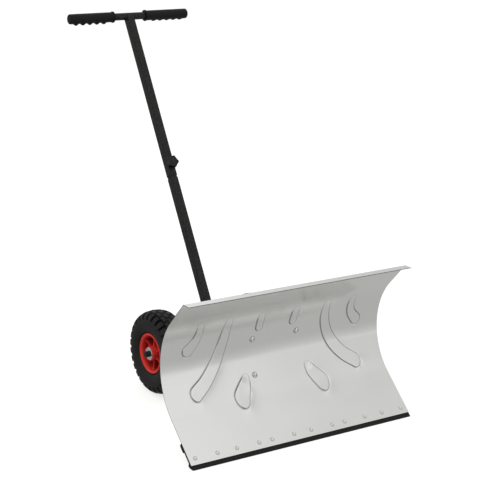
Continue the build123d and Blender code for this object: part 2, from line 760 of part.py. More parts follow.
# ---------------------------------------------------------------- wheels
WHEEL_X = 166.8           # centre of each wheel from the middle plane
BUSH_R = 14.0
BUSH_FLANGE_R = 19.0
BUSH_EDGE = 0.8           # bevel of the flange
SPOKE_MID_R = 36.0        # ribs on the outer face of the web
SPOKE_LEN = 29.0
SPOKE_T = 5.0
SPOKE_DEPTH = 24.0
SPOKE_X = 0.5             # where they start, out from the wheel's centre plane

TREAD_DEPTH = 4.5
SHOULDER_DEPTH = 17.0     # depth of the slots in the outermost rows
TREAD_PITCHES = 28        # tread blocks round one row
TREAD_SLOT = 9.0          # gap between blocks of a row
SLOT_CUT = 15.0           # radial height of the slot cutter
RING_W = 3.0              # grooves between the rows
RING_X = (-23.0, -8.0, 8.0, 23.0)   # groove centres across the tyre
HALF_PITCH = 180.0 / TREAD_PITCHES
# rows of tread blocks: start across the tyre, width, depth of the slots, turn
TREAD_ROWS = (
    (23.0, 24.0, SHOULDER_DEPTH, HALF_PITCH),
    (-47.0, 24.0, SHOULDER_DEPTH, HALF_PITCH),
    (8.0, 15.0, TREAD_DEPTH, 0.0),
    (-23.0, 15.0, TREAD_DEPTH, 0.0),
    (-8.0, 16.0, TREAD_DEPTH, HALF_PITCH),
)
# half sections of the tyre from bead to middle: x across from the centre plane, radius
TYRE_OUTSIDE = [(28.8, 61.8), (35.5, 64.5), (40.6, 77), (42.0, 92), (39.8, 106),
                (34.5, 115.5), (21, 122.3), (0, WHEEL_R)]
TYRE_INSIDE = [(21.5, 64), (32.5, 76), (34.6, 91), (30, 104.5), (17, 111.5), (0, 113.2)]

AXLE_AXIS = Axis((0, AXLE_Y, WHEEL_R), (1, 0, 0))
hub_start, hub_end = HUB_IN - WHEEL_X, HUB_OUT - WHEEL_X


def wheel_plane(side):
    # x outwards from the wheel's own centre plane, y away from the axle
    return profile_plane(side, (side * WHEEL_X, AXLE_Y, WHEEL_R))


def spoke_plane(side, k):
    # x away from the axle along spoke k, looking outwards
    angle = radians(90 + 60 * k)
    return Plane(origin=(side * (WHEEL_X + SPOKE_X), AXLE_Y, WHEEL_R),
                 x_dir=(0, cos(angle), sin(angle)), z_dir=(side, 0, 0))


def rim_lines():
    # hub, web, barrel and rolled edges
    Polyline((hub_start, BUSH_R), (hub_start, 22), (-6, 23), (-6, 49), (-33, 50.5),
             (-34.5, 52), (-34.5, 59))
    ThreePointArc((-34.5, 59), (-32.5, 61), (-30.5, 59.5))
    Polyline((-30.5, 59.5), (-29.5, 56), (28.5, 56), (29.2, 58.5))
    ThreePointArc((29.2, 58.5), (32.4, 61.2), (35.6, 57.5))
    ThreePointArc((35.6, 57.5), (34.6, 53), (30, 50.5))
    Polyline((30, 50.5), (1, 48.5), (1, 23), (hub_end, 21), (hub_end, BUSH_R),
             (hub_start, BUSH_R))


def tyre_lines():
    for half in (TYRE_OUTSIDE, TYRE_INSIDE):
        Spline(*(half + [(-x, y) for x, y in half[-2::-1]]))
    for end in (1, -1):
        Polyline((end * 28.8, 61.8), (end * 28.3, 56.2), (end * 21.5, 56.2), (end * 21.5, 64))


def bush_lines():
    flange_end = hub_end + BUSH_FLANGE
    bore_r = AXLE_R + RUN
    Polyline((hub_start, bore_r), (hub_start, BUSH_R), (hub_end, BUSH_R),
             (hub_end, BUSH_FLANGE_R), (flange_end - BUSH_EDGE, BUSH_FLANGE_R),
             (flange_end, BUSH_FLANGE_R - BUSH_EDGE), (flange_end, bore_r), close=True)


def make_rim(name, side):
    with BuildPart() as rim:
        with BuildSketch(wheel_plane(side)):
            with BuildLine():
                rim_lines()
            make_face()
        revolve(axis=AXLE_AXIS)
        for k in range(6):
            with BuildSketch(spoke_plane(side, k)):
                with Locations((SPOKE_MID_R, 0)):
                    Rectangle(SPOKE_LEN, SPOKE_T)
            extrude(amount=SPOKE_DEPTH)
    save(rim, name)


def make_bush(name, side):
    with BuildPart() as bush:
        with BuildSketch(wheel_plane(side)):
            with BuildLine():
                bush_lines()
            make_face()
        revolve(axis=AXLE_AXIS)
    save(bush, name)


def make_tyre(name, side):
    with BuildPart() as tyre:
        with BuildSketch(wheel_plane(side)):
            with BuildLine():
                tyre_lines()
            make_face()
        revolve(axis=AXLE_AXIS)
        # cross slots row by row: shoulders, the two rows beside the middle, the middle row
        for x, width, depth, turn in TREAD_ROWS:
            with BuildSketch(axle_plane(side * WHEEL_X + x)):
                with PolarLocations(WHEEL_R - depth + SLOT_CUT / 2, TREAD_PITCHES,
                                    start_angle=turn):
                    Rectangle(SLOT_CUT, TREAD_SLOT)
            extrude(amount=width, mode=Mode.SUBTRACT)
        # grooves round the tread between the rows
        for x in RING_X:
            with BuildSketch(axle_plane(side * WHEEL_X + x - RING_W / 2)):
                Circle(WHEEL_R + 5)
                Circle(WHEEL_R - TREAD_DEPTH, mode=Mode.SUBTRACT)
            extrude(amount=RING_W, mode=Mode.SUBTRACT)
    save(tyre, name)


for side_name, side in (("right", 1), ("left", -1)):
    make_rim(f"{side_name}_rim", side)
    make_bush(f"{side_name}_bush", side)
    make_tyre(f"{side_name}_tyre", side)
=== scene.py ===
# A wheeled push blade: a curled metal sheet with pressed shapes and a rubber scraper, on a
# chassis with two red-rimmed wheels and a handle with two grips.
# x runs across, the blade's front faces -y, z is up and the wheels stand at z = 0.
import json
from math import asin, atan2, cos, exp, hypot, pi, radians, sin, sqrt, tan

import bmesh
import bpy
import numpy as np
from mathutils import Matrix, Vector
from mathutils.geometry import delaunay_2d_cdt


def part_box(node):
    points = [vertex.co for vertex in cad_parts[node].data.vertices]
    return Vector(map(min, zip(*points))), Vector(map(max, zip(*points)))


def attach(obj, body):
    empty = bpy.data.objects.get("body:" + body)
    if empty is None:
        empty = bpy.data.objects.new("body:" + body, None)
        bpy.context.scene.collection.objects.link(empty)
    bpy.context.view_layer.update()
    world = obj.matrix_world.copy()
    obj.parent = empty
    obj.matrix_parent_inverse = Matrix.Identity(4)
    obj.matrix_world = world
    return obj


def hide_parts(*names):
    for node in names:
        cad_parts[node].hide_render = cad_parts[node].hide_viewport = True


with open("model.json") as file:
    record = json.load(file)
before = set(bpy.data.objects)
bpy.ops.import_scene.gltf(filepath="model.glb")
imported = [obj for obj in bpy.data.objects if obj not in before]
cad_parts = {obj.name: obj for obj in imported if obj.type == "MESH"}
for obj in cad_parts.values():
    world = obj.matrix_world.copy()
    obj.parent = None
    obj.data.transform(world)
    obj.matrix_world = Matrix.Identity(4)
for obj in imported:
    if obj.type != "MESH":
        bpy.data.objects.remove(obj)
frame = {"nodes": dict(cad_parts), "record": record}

MM = 0.001
X_AXIS, Y_AXIS, Z_AXIS = Vector((1, 0, 0)), Vector((0, 1, 0)), Vector((0, 0, 1))

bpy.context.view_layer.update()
record = frame["record"]
joints = {joint["name"]: joint for joint in record["behaviour"]["joints"]}


# ------------------------------------------------------------------ CAD measurements
def corners(node):
    """Lowest and highest corner of the node's box."""
    low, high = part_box(node)
    return Vector(low), Vector(high)


def middle(node):
    low, high = corners(node)
    return (low + high) / 2


def cad_points(node):
    return [vertex.co.copy() for vertex in frame["nodes"][node].data.vertices]


def head_middle(points, x, reach, z_low=-1.0, z_high=9.0):
    """Middle of the front 4 mm of the fixing at x."""
    near = [p for p in points if abs(p.x - x) < reach and z_low < p.z < z_high]
    y_front = min(p.y for p in near)
    front = [p for p in near if p.y < y_front + 4 * MM]
    z = (min(p.z for p in front) + max(p.z for p in front)) / 2
    return Vector((x, (y_front + max(p.y for p in front)) / 2, z))


RIVET_X = [29.0, 102.5, 145.5, 218.0, 280.0, 350.0]        # each side of the middle, mm
BOLT_X = 75 * MM

cad_rivets, cad_bolts = cad_points("scraper_rivets"), cad_points("blade_bolts")
rivet_points = [head_middle(cad_rivets, side * x * MM, 6 * MM) for x in RIVET_X for side in (-1, 1)]
bolt_points = [head_middle(cad_bolts, -BOLT_X, 9 * MM, 0.215),
               head_middle(cad_bolts, BOLT_X, 9 * MM, 0.215),
               head_middle(cad_bolts, -BOLT_X, 9 * MM, 0.1, 0.2)]


# ------------------------------------------------------------------ shader nodes
def grey(value):
    return (value, value, value)


class Shader:
    """Adds nodes to one node tree. Every input takes a value or another node's output."""

    def __init__(self, owner):
        owner.use_nodes = True
        self.owner = owner
        self.tree = owner.node_tree

    def put(self, socket, value):
        if isinstance(value, bpy.types.NodeSocket):
            self.tree.links.new(value, socket)
        elif socket.type == "RGBA":
            socket.default_value = (*value, 1)
        else:
            socket.default_value = value

    def fill(self, node, inputs):
        for name, value in inputs.items():
            self.put(node.inputs[name.replace("_", " ")], value)

    def add(self, kind, **inputs):
        node = self.tree.nodes.new("ShaderNode" + kind)
        self.fill(node, inputs)
        return node

    def surface(self, **inputs):
        """Sets inputs of the Principled surface and returns the material."""
        self.fill(self.tree.nodes["Principled BSDF"], inputs)
        return self.owner

    def coords(self, scale=(1, 1, 1)):
        texture = self.add("TexCoord")
        return self.add("Mapping", Scale=scale, Vector=texture.outputs["Object"]).outputs["Vector"]

    def noise(self, vector, scale=1.0, detail=3.0, rough=0.6):
        return self.add("TexNoise", Vector=vector, Scale=scale, Detail=detail,
                        Roughness=rough).outputs["Fac"]

    def ramp(self, factor, stops):
        """stops: (position, colour)."""
        node = self.add("ValToRGB", Fac=factor)
        elements = node.color_ramp.elements
        while len(elements) < len(stops):
            elements.new(0.5)
        for element, (position, color) in zip(elements, stops):
            element.position = position
            element.color = (*color, 1)
        return node.outputs["Color"]

    def tones(self, factor, low, high, at=(0.3, 0.7)):
        """Runs from colour low to colour high between the two places in at."""
        return self.ramp(factor, [(at[0], low), (at[1], high)])

    def remap(self, value, to, span=(0.3, 0.7)):
        """Clamped map of span onto to."""
        return self.add("MapRange", Value=value, From_Min=span[0], From_Max=span[1],
                        To_Min=to[0], To_Max=to[1]).outputs["Result"]

    def mix(self, factor, first, second, mode="MIX"):
        node = self.add("Mix")
        node.data_type = "RGBA"
        node.blend_type = mode
        for socket, value in ((0, factor), (6, first), (7, second)):
            self.put(node.inputs[socket], value)
        return node.outputs[2]

    def calc(self, operation, *values):
        node = self.add("Math")
        node.operation = operation
        for socket, value in zip(node.inputs, values):
            self.put(socket, value)
        return node.outputs[0]

    def vector_calc(self, operation, first, second):
        node = self.add("VectorMath")
        node.operation = operation
        self.put(node.inputs[0], first)
        self.put(node.inputs[1], second)
        return node.outputs["Value"]

    def bump(self, height, strength, distance, under=None):
        """Bump normal, on top of the normal given as under."""
        node = self.add("Bump", Strength=strength, Distance=distance, Height=height)
        if under is not None:
            self.put(node.inputs["Normal"], under)
        return node.outputs["Normal"]

    def edge_wear(self, span):
        """0 to 1 as the pointiness of the surface runs through span."""
        return self.remap(self.add("NewGeometry").outputs["Pointiness"], to=(0, 1), span=span)

    def ring(self, vector, points, radius, width):
        """1 on a thin ring of the given radius round each point, falling to 0."""
        nearest = None
        for point in points:
            distance = self.vector_calc("DISTANCE", vector, point)
            nearest = distance if nearest is None else self.calc("MINIMUM", nearest, distance)
        off_ring = self.calc("ABSOLUTE", self.calc("SUBTRACT", nearest, radius))
        return self.remap(off_ring, to=(1, 0), span=(0, width))

    def incoming(self, axis):
        """One component of the direction back towards the viewer."""
        geometry = self.add("NewGeometry")
        return self.add("SeparateXYZ", Vector=geometry.outputs["Incoming"]).outputs[axis]


def new_shader(name):
    return Shader(bpy.data.materials.new(name))


# ------------------------------------------------------------------ materials
def satin_aluminium():
    sh = new_shader("satin_aluminium")
    grain = sh.noise(sh.coords((5, 1500, 1500)), detail=4)          # brushed along x
    cloud = sh.noise(sh.coords((3.2, 5, 5)), rough=0.5)
    fine = sh.noise(sh.coords((60, 60, 60)), scale=8, detail=2, rough=0.5)
    blotches = sh.noise(sh.coords((420, 420, 420)))
    color = sh.tones(cloud, (0.845, 0.845, 0.828), (0.885, 0.885, 0.870))
    streaks = sh.tones(grain, grey(0.97), grey(1.0), at=(0.25, 0.75))
    color = sh.mix(0.9, color, streaks, "MULTIPLY")
    # painted shade in the creases and in rings round the rivets and bolts, and darker sawn edges,
    # partly their duller cut and partly a painted shadow line under the lip
    creases = sh.add("Attribute")
    creases.attribute_name = "painted_shade"
    place = sh.coords()
    rings = sh.calc("MAXIMUM",
                    sh.ring(place, rivet_points, radius=5.3 * MM, width=1.6 * MM),
                    sh.ring(place, bolt_points, radius=8.1 * MM, width=1.8 * MM))
    painted_shade = sh.calc("MAXIMUM", creases.outputs["Fac"], sh.calc("MULTIPLY", rings, 0.95))
    painted_shade = sh.calc("MULTIPLY", painted_shade, sh.remap(blotches, to=(0.55, 0.85)))
    rough = sh.calc("ADD", sh.remap(grain, to=(0.145, 0.20)), sh.remap(cloud, to=(-0.02, 0.03)))
    normal = sh.bump(grain, strength=0.022, distance=0.00003)
    normal = sh.bump(cloud, strength=0.12, distance=0.0010, under=normal)
    # the near-black colour is painted shade, laid on by the painted-shade mask, which also raises
    # the roughness
    return sh.surface(Metallic=1.0, Base_Color=sh.mix(painted_shade, color, (0.10, 0.10, 0.098)),
                      Roughness=sh.calc("ADD", rough, sh.calc("MULTIPLY", painted_shade, 0.2)),
                      Normal=sh.bump(fine, strength=0.03, distance=0.00004, under=normal))


def powder_coat():
    sh = new_shader("black_powder_coat")
    place = sh.coords()
    peel = sh.noise(place, scale=900, detail=2, rough=0.5)
    cloud = sh.noise(place, scale=22, rough=0.5)
    wear = sh.edge_wear((0.53, 0.62))
    scuff = sh.noise(place, scale=160, detail=4, rough=0.7)
    wear = sh.calc("MULTIPLY", wear, sh.remap(scuff, to=(0, 0.6), span=(0.45, 0.7)))
    color = sh.tones(cloud, grey(0.00527), (0.00775, 0.007564, 0.00713))
    color = sh.mix(sh.calc("MULTIPLY", wear, 0.5), color, (0.06, 0.06, 0.059))
    rough = sh.calc("ADD", sh.remap(cloud, to=(0.29, 0.40)), sh.remap(peel, to=(-0.04, 0.04)))
    return sh.surface(Base_Color=color, Roughness=rough, Specular_IOR_Level=0.25,
                      Normal=sh.bump(peel, strength=0.22, distance=0.00012))


def zinc_plate():
    sh = new_shader("zinc_plated_steel")
    place = sh.coords()
    spangle = sh.noise(place, scale=260)
    cloud = sh.noise(place, scale=60)
    color = sh.tones(cloud, (0.66, 0.66, 0.67), (0.72, 0.70, 0.64), at=(0.3, 0.72))
    return sh.surface(Metallic=0.6, Base_Color=color,
                      Roughness=sh.remap(spangle, to=(0.23, 0.39)),
                      Normal=sh.bump(spangle, strength=0.12, distance=0.0001))


def bright_metal(name, metallic, scale, colors, rough, bump):
    """Metal with one noise for its colour, roughness and bump."""
    sh = new_shader(name)
    mottle = sh.noise(sh.coords(), scale=scale)
    return sh.surface(Metallic=metallic, Base_Color=sh.tones(mottle, *colors),
                      Roughness=sh.remap(mottle, to=rough),
                      Normal=sh.bump(mottle, strength=bump, distance=0.0001))


def scraper_rubber():
    sh = new_shader("scraper_rubber")
    place = sh.coords()
    streaks = sh.noise(sh.coords((4, 160, 160)))
    fine = sh.noise(place, scale=900, detail=2)
    normal = sh.bump(streaks, strength=0.2, distance=0.0003)
    return sh.surface(Base_Color=sh.tones(streaks, grey(0.0048), (0.0081, 0.0081, 0.0078)),
                      Roughness=sh.remap(streaks, to=(0.44, 0.6)), Specular_IOR_Level=0.25,
                      Normal=sh.bump(fine, strength=0.25, distance=0.00012, under=normal))


def grip_rubber():
    sh = new_shader("grip_rubber")
    place = sh.coords()
    cells = sh.add("TexVoronoi", Scale=650, Vector=place).outputs["Distance"]
    cloud = sh.noise(place, scale=45, rough=0.5)
    return sh.surface(Base_Color=sh.tones(cloud, (0.0052, 0.0052, 0.005), (0.008, 0.008, 0.0078)),
                      Roughness=sh.remap(cloud, to=(0.42, 0.56)), Specular_IOR_Level=0.2,
                      Normal=sh.bump(cells, strength=0.35, distance=0.0003))


def tyre_rubber():
    sh = new_shader("tyre_rubber")
    place = sh.coords()
    fine = sh.noise(place, scale=700)
    cloud = sh.noise(place, scale=30, detail=4)
    dust = sh.calc("MULTIPLY", sh.edge_wear((0.5, 0.6)), 0.35)
    color = sh.tones(cloud, (0.0040, 0.0040, 0.0038), (0.0068, 0.0068, 0.0064))
    return sh.surface(Base_Color=sh.mix(dust, color, (0.026, 0.026, 0.0245)),
                      Roughness=sh.remap(cloud, to=(0.40, 0.54)), Specular_IOR_Level=0.32,
                      Normal=sh.bump(fine, strength=0.3, distance=0.00025))


def red_plastic():
    sh = new_shader("red_moulded_plastic")
    place = sh.coords()
    fine = sh.noise(place, scale=800, detail=2, rough=0.5)
    cloud = sh.noise(place, scale=35, rough=0.5)
    wear = sh.edge_wear((0.52, 0.6))
    color = sh.tones(cloud, (0.46, 0.016, 0.012), (0.56, 0.024, 0.016))
    color = sh.mix(sh.calc("MULTIPLY", wear, 0.25), color, (0.70, 0.08, 0.05))
    # painted shade in the hollows, from ambient occlusion
    occlusion = sh.add("AmbientOcclusion", Distance=0.03)
    occlusion.samples = 8
    hollow = sh.remap(occlusion.outputs["AO"], to=(0.72, 0), span=(0.25, 0.85))
    return sh.surface(Base_Color=sh.mix(hollow, color, (0.075, 0.002, 0.002)),
                      Roughness=sh.remap(cloud, to=(0.32, 0.42)), Specular_IOR_Level=0.35,
                      Normal=sh.bump(fine, strength=0.12, distance=0.0001))


def black_plastic():
    sh = new_shader("black_moulded_plastic")
    place = sh.coords()
    fine = sh.noise(place, scale=1100, detail=2, rough=0.5)
    cloud = sh.noise(place, scale=50, rough=0.5)
    wear = sh.calc("MULTIPLY", sh.edge_wear((0.53, 0.62)), 0.3)
    color = sh.tones(cloud, grey(0.007), (0.012, 0.012, 0.0118))
    return sh.surface(Base_Color=sh.mix(wear, color, grey(0.035)),
                      Roughness=sh.remap(cloud, to=(0.36, 0.48)), Specular_IOR_Level=0.32,
                      Normal=sh.bump(fine, strength=0.25, distance=0.00015))


# by material slot
MATERIALS = {
    "blade_metal": satin_aluminium(),
    "black_steel": powder_coat(),
    "zinc_steel": zinc_plate(),
    "bright_bolt": bright_metal("bright_bolt_metal", metallic=1.0, scale=320, rough=(0.06, 0.12),
                                colors=((0.84, 0.84, 0.85), grey(0.94)), bump=0.05),
    "rivet_metal": bright_metal("rivet_aluminium", metallic=0.85, scale=400, rough=(0.08, 0.15),
                                colors=((0.92, 0.92, 0.91), (0.98, 0.98, 0.97)), bump=0.08),
    "black_rubber": scraper_rubber(),
    "grip_rubber": grip_rubber(),
    "tyre_rubber": tyre_rubber(),
    "red_plastic": red_plastic(),
    "black_plastic": black_plastic(),
}

# ------------------------------------------------------------------ CAD pieces
# width of the softened edges, mm
SOFT_EDGES = {
    "swivel_plate": 0.5, "bracket_plate": 0.5, "bracket_ribs": 0.5, "beam_plugs": 0.6,
    "blade_nuts": 0.35, "pivot_bolt": 0.5, "pivot_nut": 0.4, "clamp_bolt": 0.4,
    "blade_washers": 0.25, "pivot_washer": 0.3, "clamp_washer": 0.3,
    "handle_weld_nut": 0.4, "scraper_strip": 0.5, "axle_washers": 0.3,
}

slots = {piece["node"]: piece["material_slot"] for piece in record["subparts"]}
for name, piece in frame["nodes"].items():
    piece.data.materials.clear()
    piece.data.materials.append(MATERIALS[slots[name]])

for name, width in SOFT_EDGES.items():
    piece = frame["nodes"][name]
    weld = piece.modifiers.new("join", "WELD")
    weld.merge_threshold = 1e-5
    bevel = piece.modifiers.new("soft_edge", "BEVEL")
    bevel.width = width * MM
    bevel.segments = 2
    bevel.limit_method = "ANGLE"
    bevel.angle_limit = radians(40)


# ------------------------------------------------------------------ mesh helpers
def add_mesh(name, verts, faces, slot, body, replaced=None):
    """Smooth mesh object that rides on body and stands in for the replaced CAD node."""
    mesh = bpy.data.meshes.new(name)
    mesh.from_pydata([tuple(map(float, v)) for v in verts], [],
                     [tuple(map(int, f)) for f in faces])
    mesh.validate()
    mesh.materials.append(MATERIALS[slot])
    ob = bpy.data.objects.new(name, mesh)
    bpy.context.scene.collection.objects.link(ob)
    for polygon in mesh.polygons:
        polygon.use_smooth = True
    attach(ob, body)
    if replaced:
        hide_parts(replaced)
    return ob


def face_outwards(ob, sharp):
    """Joins doubled points, turns all faces outwards and marks edges over sharp degrees."""
    work = bmesh.new()
    work.from_mesh(ob.data)
    bmesh.ops.remove_doubles(work, verts=work.verts, dist=1e-7)
    bmesh.ops.recalc_face_normals(work, faces=work.faces)
    work.to_mesh(ob.data)
    work.free()
    ob.data.set_sharp_from_angle(angle=radians(sharp))


def add_part(name, verts, faces, slot, body, replaced=None, sharp=35):
    face_outwards(add_mesh(name, verts, faces, slot, body, replaced), sharp)


def grid_faces(rows, count, first=0, wrap_rows=False, wrap=False):
    """Quads over rows of count points, starting at point number first."""
    faces = []
    for i in range(rows if wrap_rows else rows - 1):
        below = (i + 1) % rows
        for j in range(count if wrap else count - 1):
            beside = (j + 1) % count
            faces.append((first + i * count + j, first + below * count + j,
                          first + below * count + beside, first + i * count + beside))
    return faces


def lathe(profile, segments, origin, axis, side_a, side_b):
    """Closed profile (along, radius) turned about axis, from side_a towards side_b."""
    verts = []
    for i in range(segments):
        angle = 2 * pi * i / segments
        out = side_a * cos(angle) + side_b * sin(angle)
        verts += [origin + axis * along + out * radius for along, radius in profile]
    return verts, grid_faces(segments, len(profile), wrap_rows=True, wrap=True)


def merge(parts):
    all_verts, all_faces = [], []
    for verts, faces in parts:
        first = len(all_verts)
        all_verts += list(verts)
        all_faces += [tuple(i + first for i in face) for face in faces]
    return all_verts, all_faces


def smooth_step(t):
    t = np.clip(t, 0, 1)
    return t * t * (3 - 2 * t)


def spline(points, per):
    """Catmull-Rom curve through the points, per steps between each two."""
    points = [2 * points[0] - points[1], *points, 2 * points[-1] - points[-2]]
    curve = []
    for i in range(1, len(points) - 2):
        before, start, end, after = points[i - 1:i + 3]
        for k in range(per):
            t = k / per
            curve.append(0.5 * (2 * start + (end - before) * t
                                + (2 * before - 5 * start + 4 * end - after) * t * t
                                + (3 * start - before - 3 * end + after) * t ** 3))
    curve.append(points[-2])
    return curve


# ------------------------------------------------------------------ blade sheet profile
# From the top: a lip, a flat leaning forwards, a round curl, and a flat toe.
SHEET_THICK = 1.6 * MM
CURL_R = 189 * MM                    # to the front face
TOP_LEAN, TOE_LEAN = radians(42.0), radians(48.8)
TOP_FLAT, TOE_FLAT, LIP = 90 * MM, 137.5 * MM, 26 * MM
LIP_BEND_R = 3 * MM
sheet_low, sheet_high = corners("blade_sheet")
HALF_W = (sheet_high.x - sheet_low.x) / 2
CURL_Y = sheet_high.y - CURL_R - SHEET_THICK
# the vector keeps this height of the curl in single precision, like the CAD boxes
CURL_TOP_Y = Vector((0, CURL_Y + CURL_R * cos(TOP_LEAN), 0)).y
LIP_Y = CURL_TOP_Y - TOP_FLAT * sin(TOP_LEAN)              # where lip and flat would meet
LIP_Z = sheet_high.z - SHEET_THICK
CURL_Z = LIP_Z - TOP_FLAT * cos(TOP_LEAN) - CURL_R * sin(TOP_LEAN)
CURL_TOP_Z = CURL_Z + CURL_R * sin(TOP_LEAN)
CURL_TOE_Y = CURL_Y + CURL_R * cos(TOE_LEAN)
CURL_TOE_Z = CURL_Z - CURL_R * sin(TOE_LEAN)

LIP_STEPS, BEND_STEPS, TOP_STEPS, CURL_STEPS, TOE_STEPS = 6, 8, 24, 112, 34
PLAIN_ROWS = LIP_STEPS + BEND_STEPS + 2          # first rows, which carry no pressed shapes
COLUMNS = 141


def sheet_path():
    """Rows of the front face from the lip to the toe: y, z, lean."""
    cut = LIP_BEND_R * tan((pi / 2 - TOP_LEAN) / 2)        # taken off each side by the bend
    rows = [(LIP_Y - LIP + (LIP - cut) * k / LIP_STEPS, LIP_Z, pi / 2)
            for k in range(LIP_STEPS + 1)]
    bend_y, bend_z = LIP_Y - cut, LIP_Z - LIP_BEND_R
    for k in range(1, BEND_STEPS + 1):
        angle = pi / 2 + (TOP_LEAN - pi / 2) * k / BEND_STEPS
        rows.append((bend_y + LIP_BEND_R * cos(angle), bend_z + LIP_BEND_R * sin(angle), angle))
    y, z, _ = rows[-1]
    length = TOP_FLAT - cut
    for k in range(1, TOP_STEPS + 1):
        rows.append((y + sin(TOP_LEAN) * length * k / TOP_STEPS,
                     z - cos(TOP_LEAN) * length * k / TOP_STEPS, TOP_LEAN))
    for k in range(1, CURL_STEPS + 1):
        angle = TOP_LEAN + (-TOE_LEAN - TOP_LEAN) * k / CURL_STEPS
        rows.append((CURL_Y + CURL_R * cos(angle), CURL_Z + CURL_R * sin(angle), angle))
    y, z, _ = rows[-1]
    for k in range(1, TOE_STEPS + 1):
        rows.append((y - sin(TOE_LEAN) * TOE_FLAT * k / TOE_STEPS,
                     z - cos(TOE_LEAN) * TOE_FLAT * k / TOE_STEPS, -TOE_LEAN))
    return np.array(rows)


def face_at(z):
    """y and lean of the front face at height z below the lip."""
    lean = np.arcsin(np.clip((z - CURL_Z) / CURL_R, -1, 1))
    y = CURL_Y + CURL_R * np.cos(lean)
    on_top, on_toe = z > CURL_TOP_Z, z < CURL_TOE_Z
    y = np.where(on_top, CURL_TOP_Y - (z - CURL_TOP_Z) * tan(TOP_LEAN), y)
    y = np.where(on_toe, CURL_TOE_Y - (CURL_TOE_Z - z) * tan(TOE_LEAN), y)
    lean = np.where(on_top, TOP_LEAN, np.where(on_toe, -TOE_LEAN, lean))
    return y, lean


# ------------------------------------------------------------------ pressed shapes, all in mm
PRESS_H = 2.1
# centre lines from the upper end, for the +x side: x, z, half width
PRESSES = [
    [(167, 333, 10), (168, 306, 12.5), (173, 272, 14.5), (186, 231, 16),
     (206, 198, 17.5), (236, 166, 18), (271, 143, 18)],
    [(258, 333, 9.5), (258, 308, 11), (266, 283, 13), (286, 259.5, 16)],
    [(58.5, 328, 10.5), (58, 310, 11), (57.5, 292, 10.5)],
    [(106, 155, 10.5), (116, 137, 17), (136, 113, 21.5)],
]
# rings of points over each pressed edge, by distance outside it
RING_OFFSETS = [3.3, 2.8, 2.4, 2.0, 1.65, 1.3, 1.0, 0.7, 0.35, 0.0, -0.35, -0.7, -1.0, -1.35]


def fine_line(shape, step=1.6):
    """Smooth, evenly spaced centre line through the given circles."""
    curve = np.array(spline(list(np.array(shape, float)), 24))
    run = np.concatenate([[0], np.cumsum(np.hypot(*np.diff(curve[:, :2], axis=0).T))])
    even = np.linspace(0, run[-1], max(8, int(run[-1] / step)))
    return np.stack([np.interp(even, run, curve[:, k]) for k in range(3)], 1)


press_lines = [fine_line(shape) * (side, 1, 1) for shape in PRESSES for side in (-1, 1)]


def press_edge(x, z):
    """Distance outside the nearest pressed outline (negative inside), x and z from the
    nearest centre point, and how far down the shape that lies, 0 to 1."""
    distance = np.full(x.shape, 1e9)
    from_x, from_z, down = np.zeros(x.shape), np.zeros(x.shape), np.zeros(x.shape)
    for line in press_lines:
        near = (np.abs(x - line[:, 0].mean()) < 150) & (np.abs(z - line[:, 1].mean()) < 160)
        if not near.any():
            continue
        x_near, z_near = x[near], z[near]
        outside = np.hypot(x_near[:, None] - line[None, :, 0],
                           z_near[:, None] - line[None, :, 1]) - line[None, :, 2]
        station = outside.argmin(1)
        least = outside[np.arange(len(station)), station]
        which = np.flatnonzero(near)
        closer = least < distance[which]
        which, station, least = which[closer], station[closer], least[closer]
        distance[which] = least
        from_x[which] = x[which] - line[station, 0]
        from_z[which] = z[which] - line[station, 1]
        down[which] = station / (len(line) - 1)
    return distance, from_x, from_z, down


def grow_in(down):
    """The shapes grow out of the sheet from their upper end."""
    return 0.22 + 0.78 * smooth_step(down / 0.3)


def flank(from_x, from_z, down, z):
    """1 on the lower +x flanks, where the sheet was drawn in with the shape."""
    reach = np.maximum(np.hypot(from_x, from_z), 1e-6)
    toward = np.clip((0.86 * from_x - 0.5 * from_z) / reach, 0, 1)
    return toward ** 1.3 * smooth_step((down - 0.30) / 0.35) * smooth_step((290 - z) / 70)


def crease_painted_shade(x, z):
    """Painted shade along the foot of each pressed edge, 0 to 1."""
    distance, from_x, from_z, down = press_edge(x, z)
    side = flank(from_x, from_z, down, z)
    return np.exp(-((distance - 1.35 + 1.45 * side) / 0.95) ** 2) * grow_in(down)


def press_height(x, z):
    """Height of the sheet over its plain curve."""
    distance, from_x, from_z, down = press_edge(x, z)
    reach = np.maximum(np.hypot(from_x, from_z), 1e-6)
    side = flank(from_x, from_z, down, z)
    low_sheet = smooth_step((300 - z) / 90)
    lower = smooth_step((down - 0.35) / 0.5) * low_sheet
    outside = np.maximum(distance, 0)
    skirt = 1.6 * np.exp(-outside / 9.0) * side
    skirt += 0.2 * np.exp(-outside / 14.0) * low_sheet
    tilt = 0.02 * np.clip(0.86 * from_x - 0.5 * from_z, -30, 30) * lower
    full = PRESS_H - np.maximum(tilt, -0.2)
    wall = smooth_step((1.2 - distance) / 2.4)
    tip = smooth_step((down - 0.9) / 0.1) * np.clip(-from_z / reach, 0, 1) ** 2
    groove = (0.30 + 0.35 * tip) * (1 - 0.85 * side) \
        * np.exp(-((distance - 1.75) / (0.75 + 0.4 * tip)) ** 2)
    return (skirt + (full - skirt) * wall - groove) * grow_in(down)


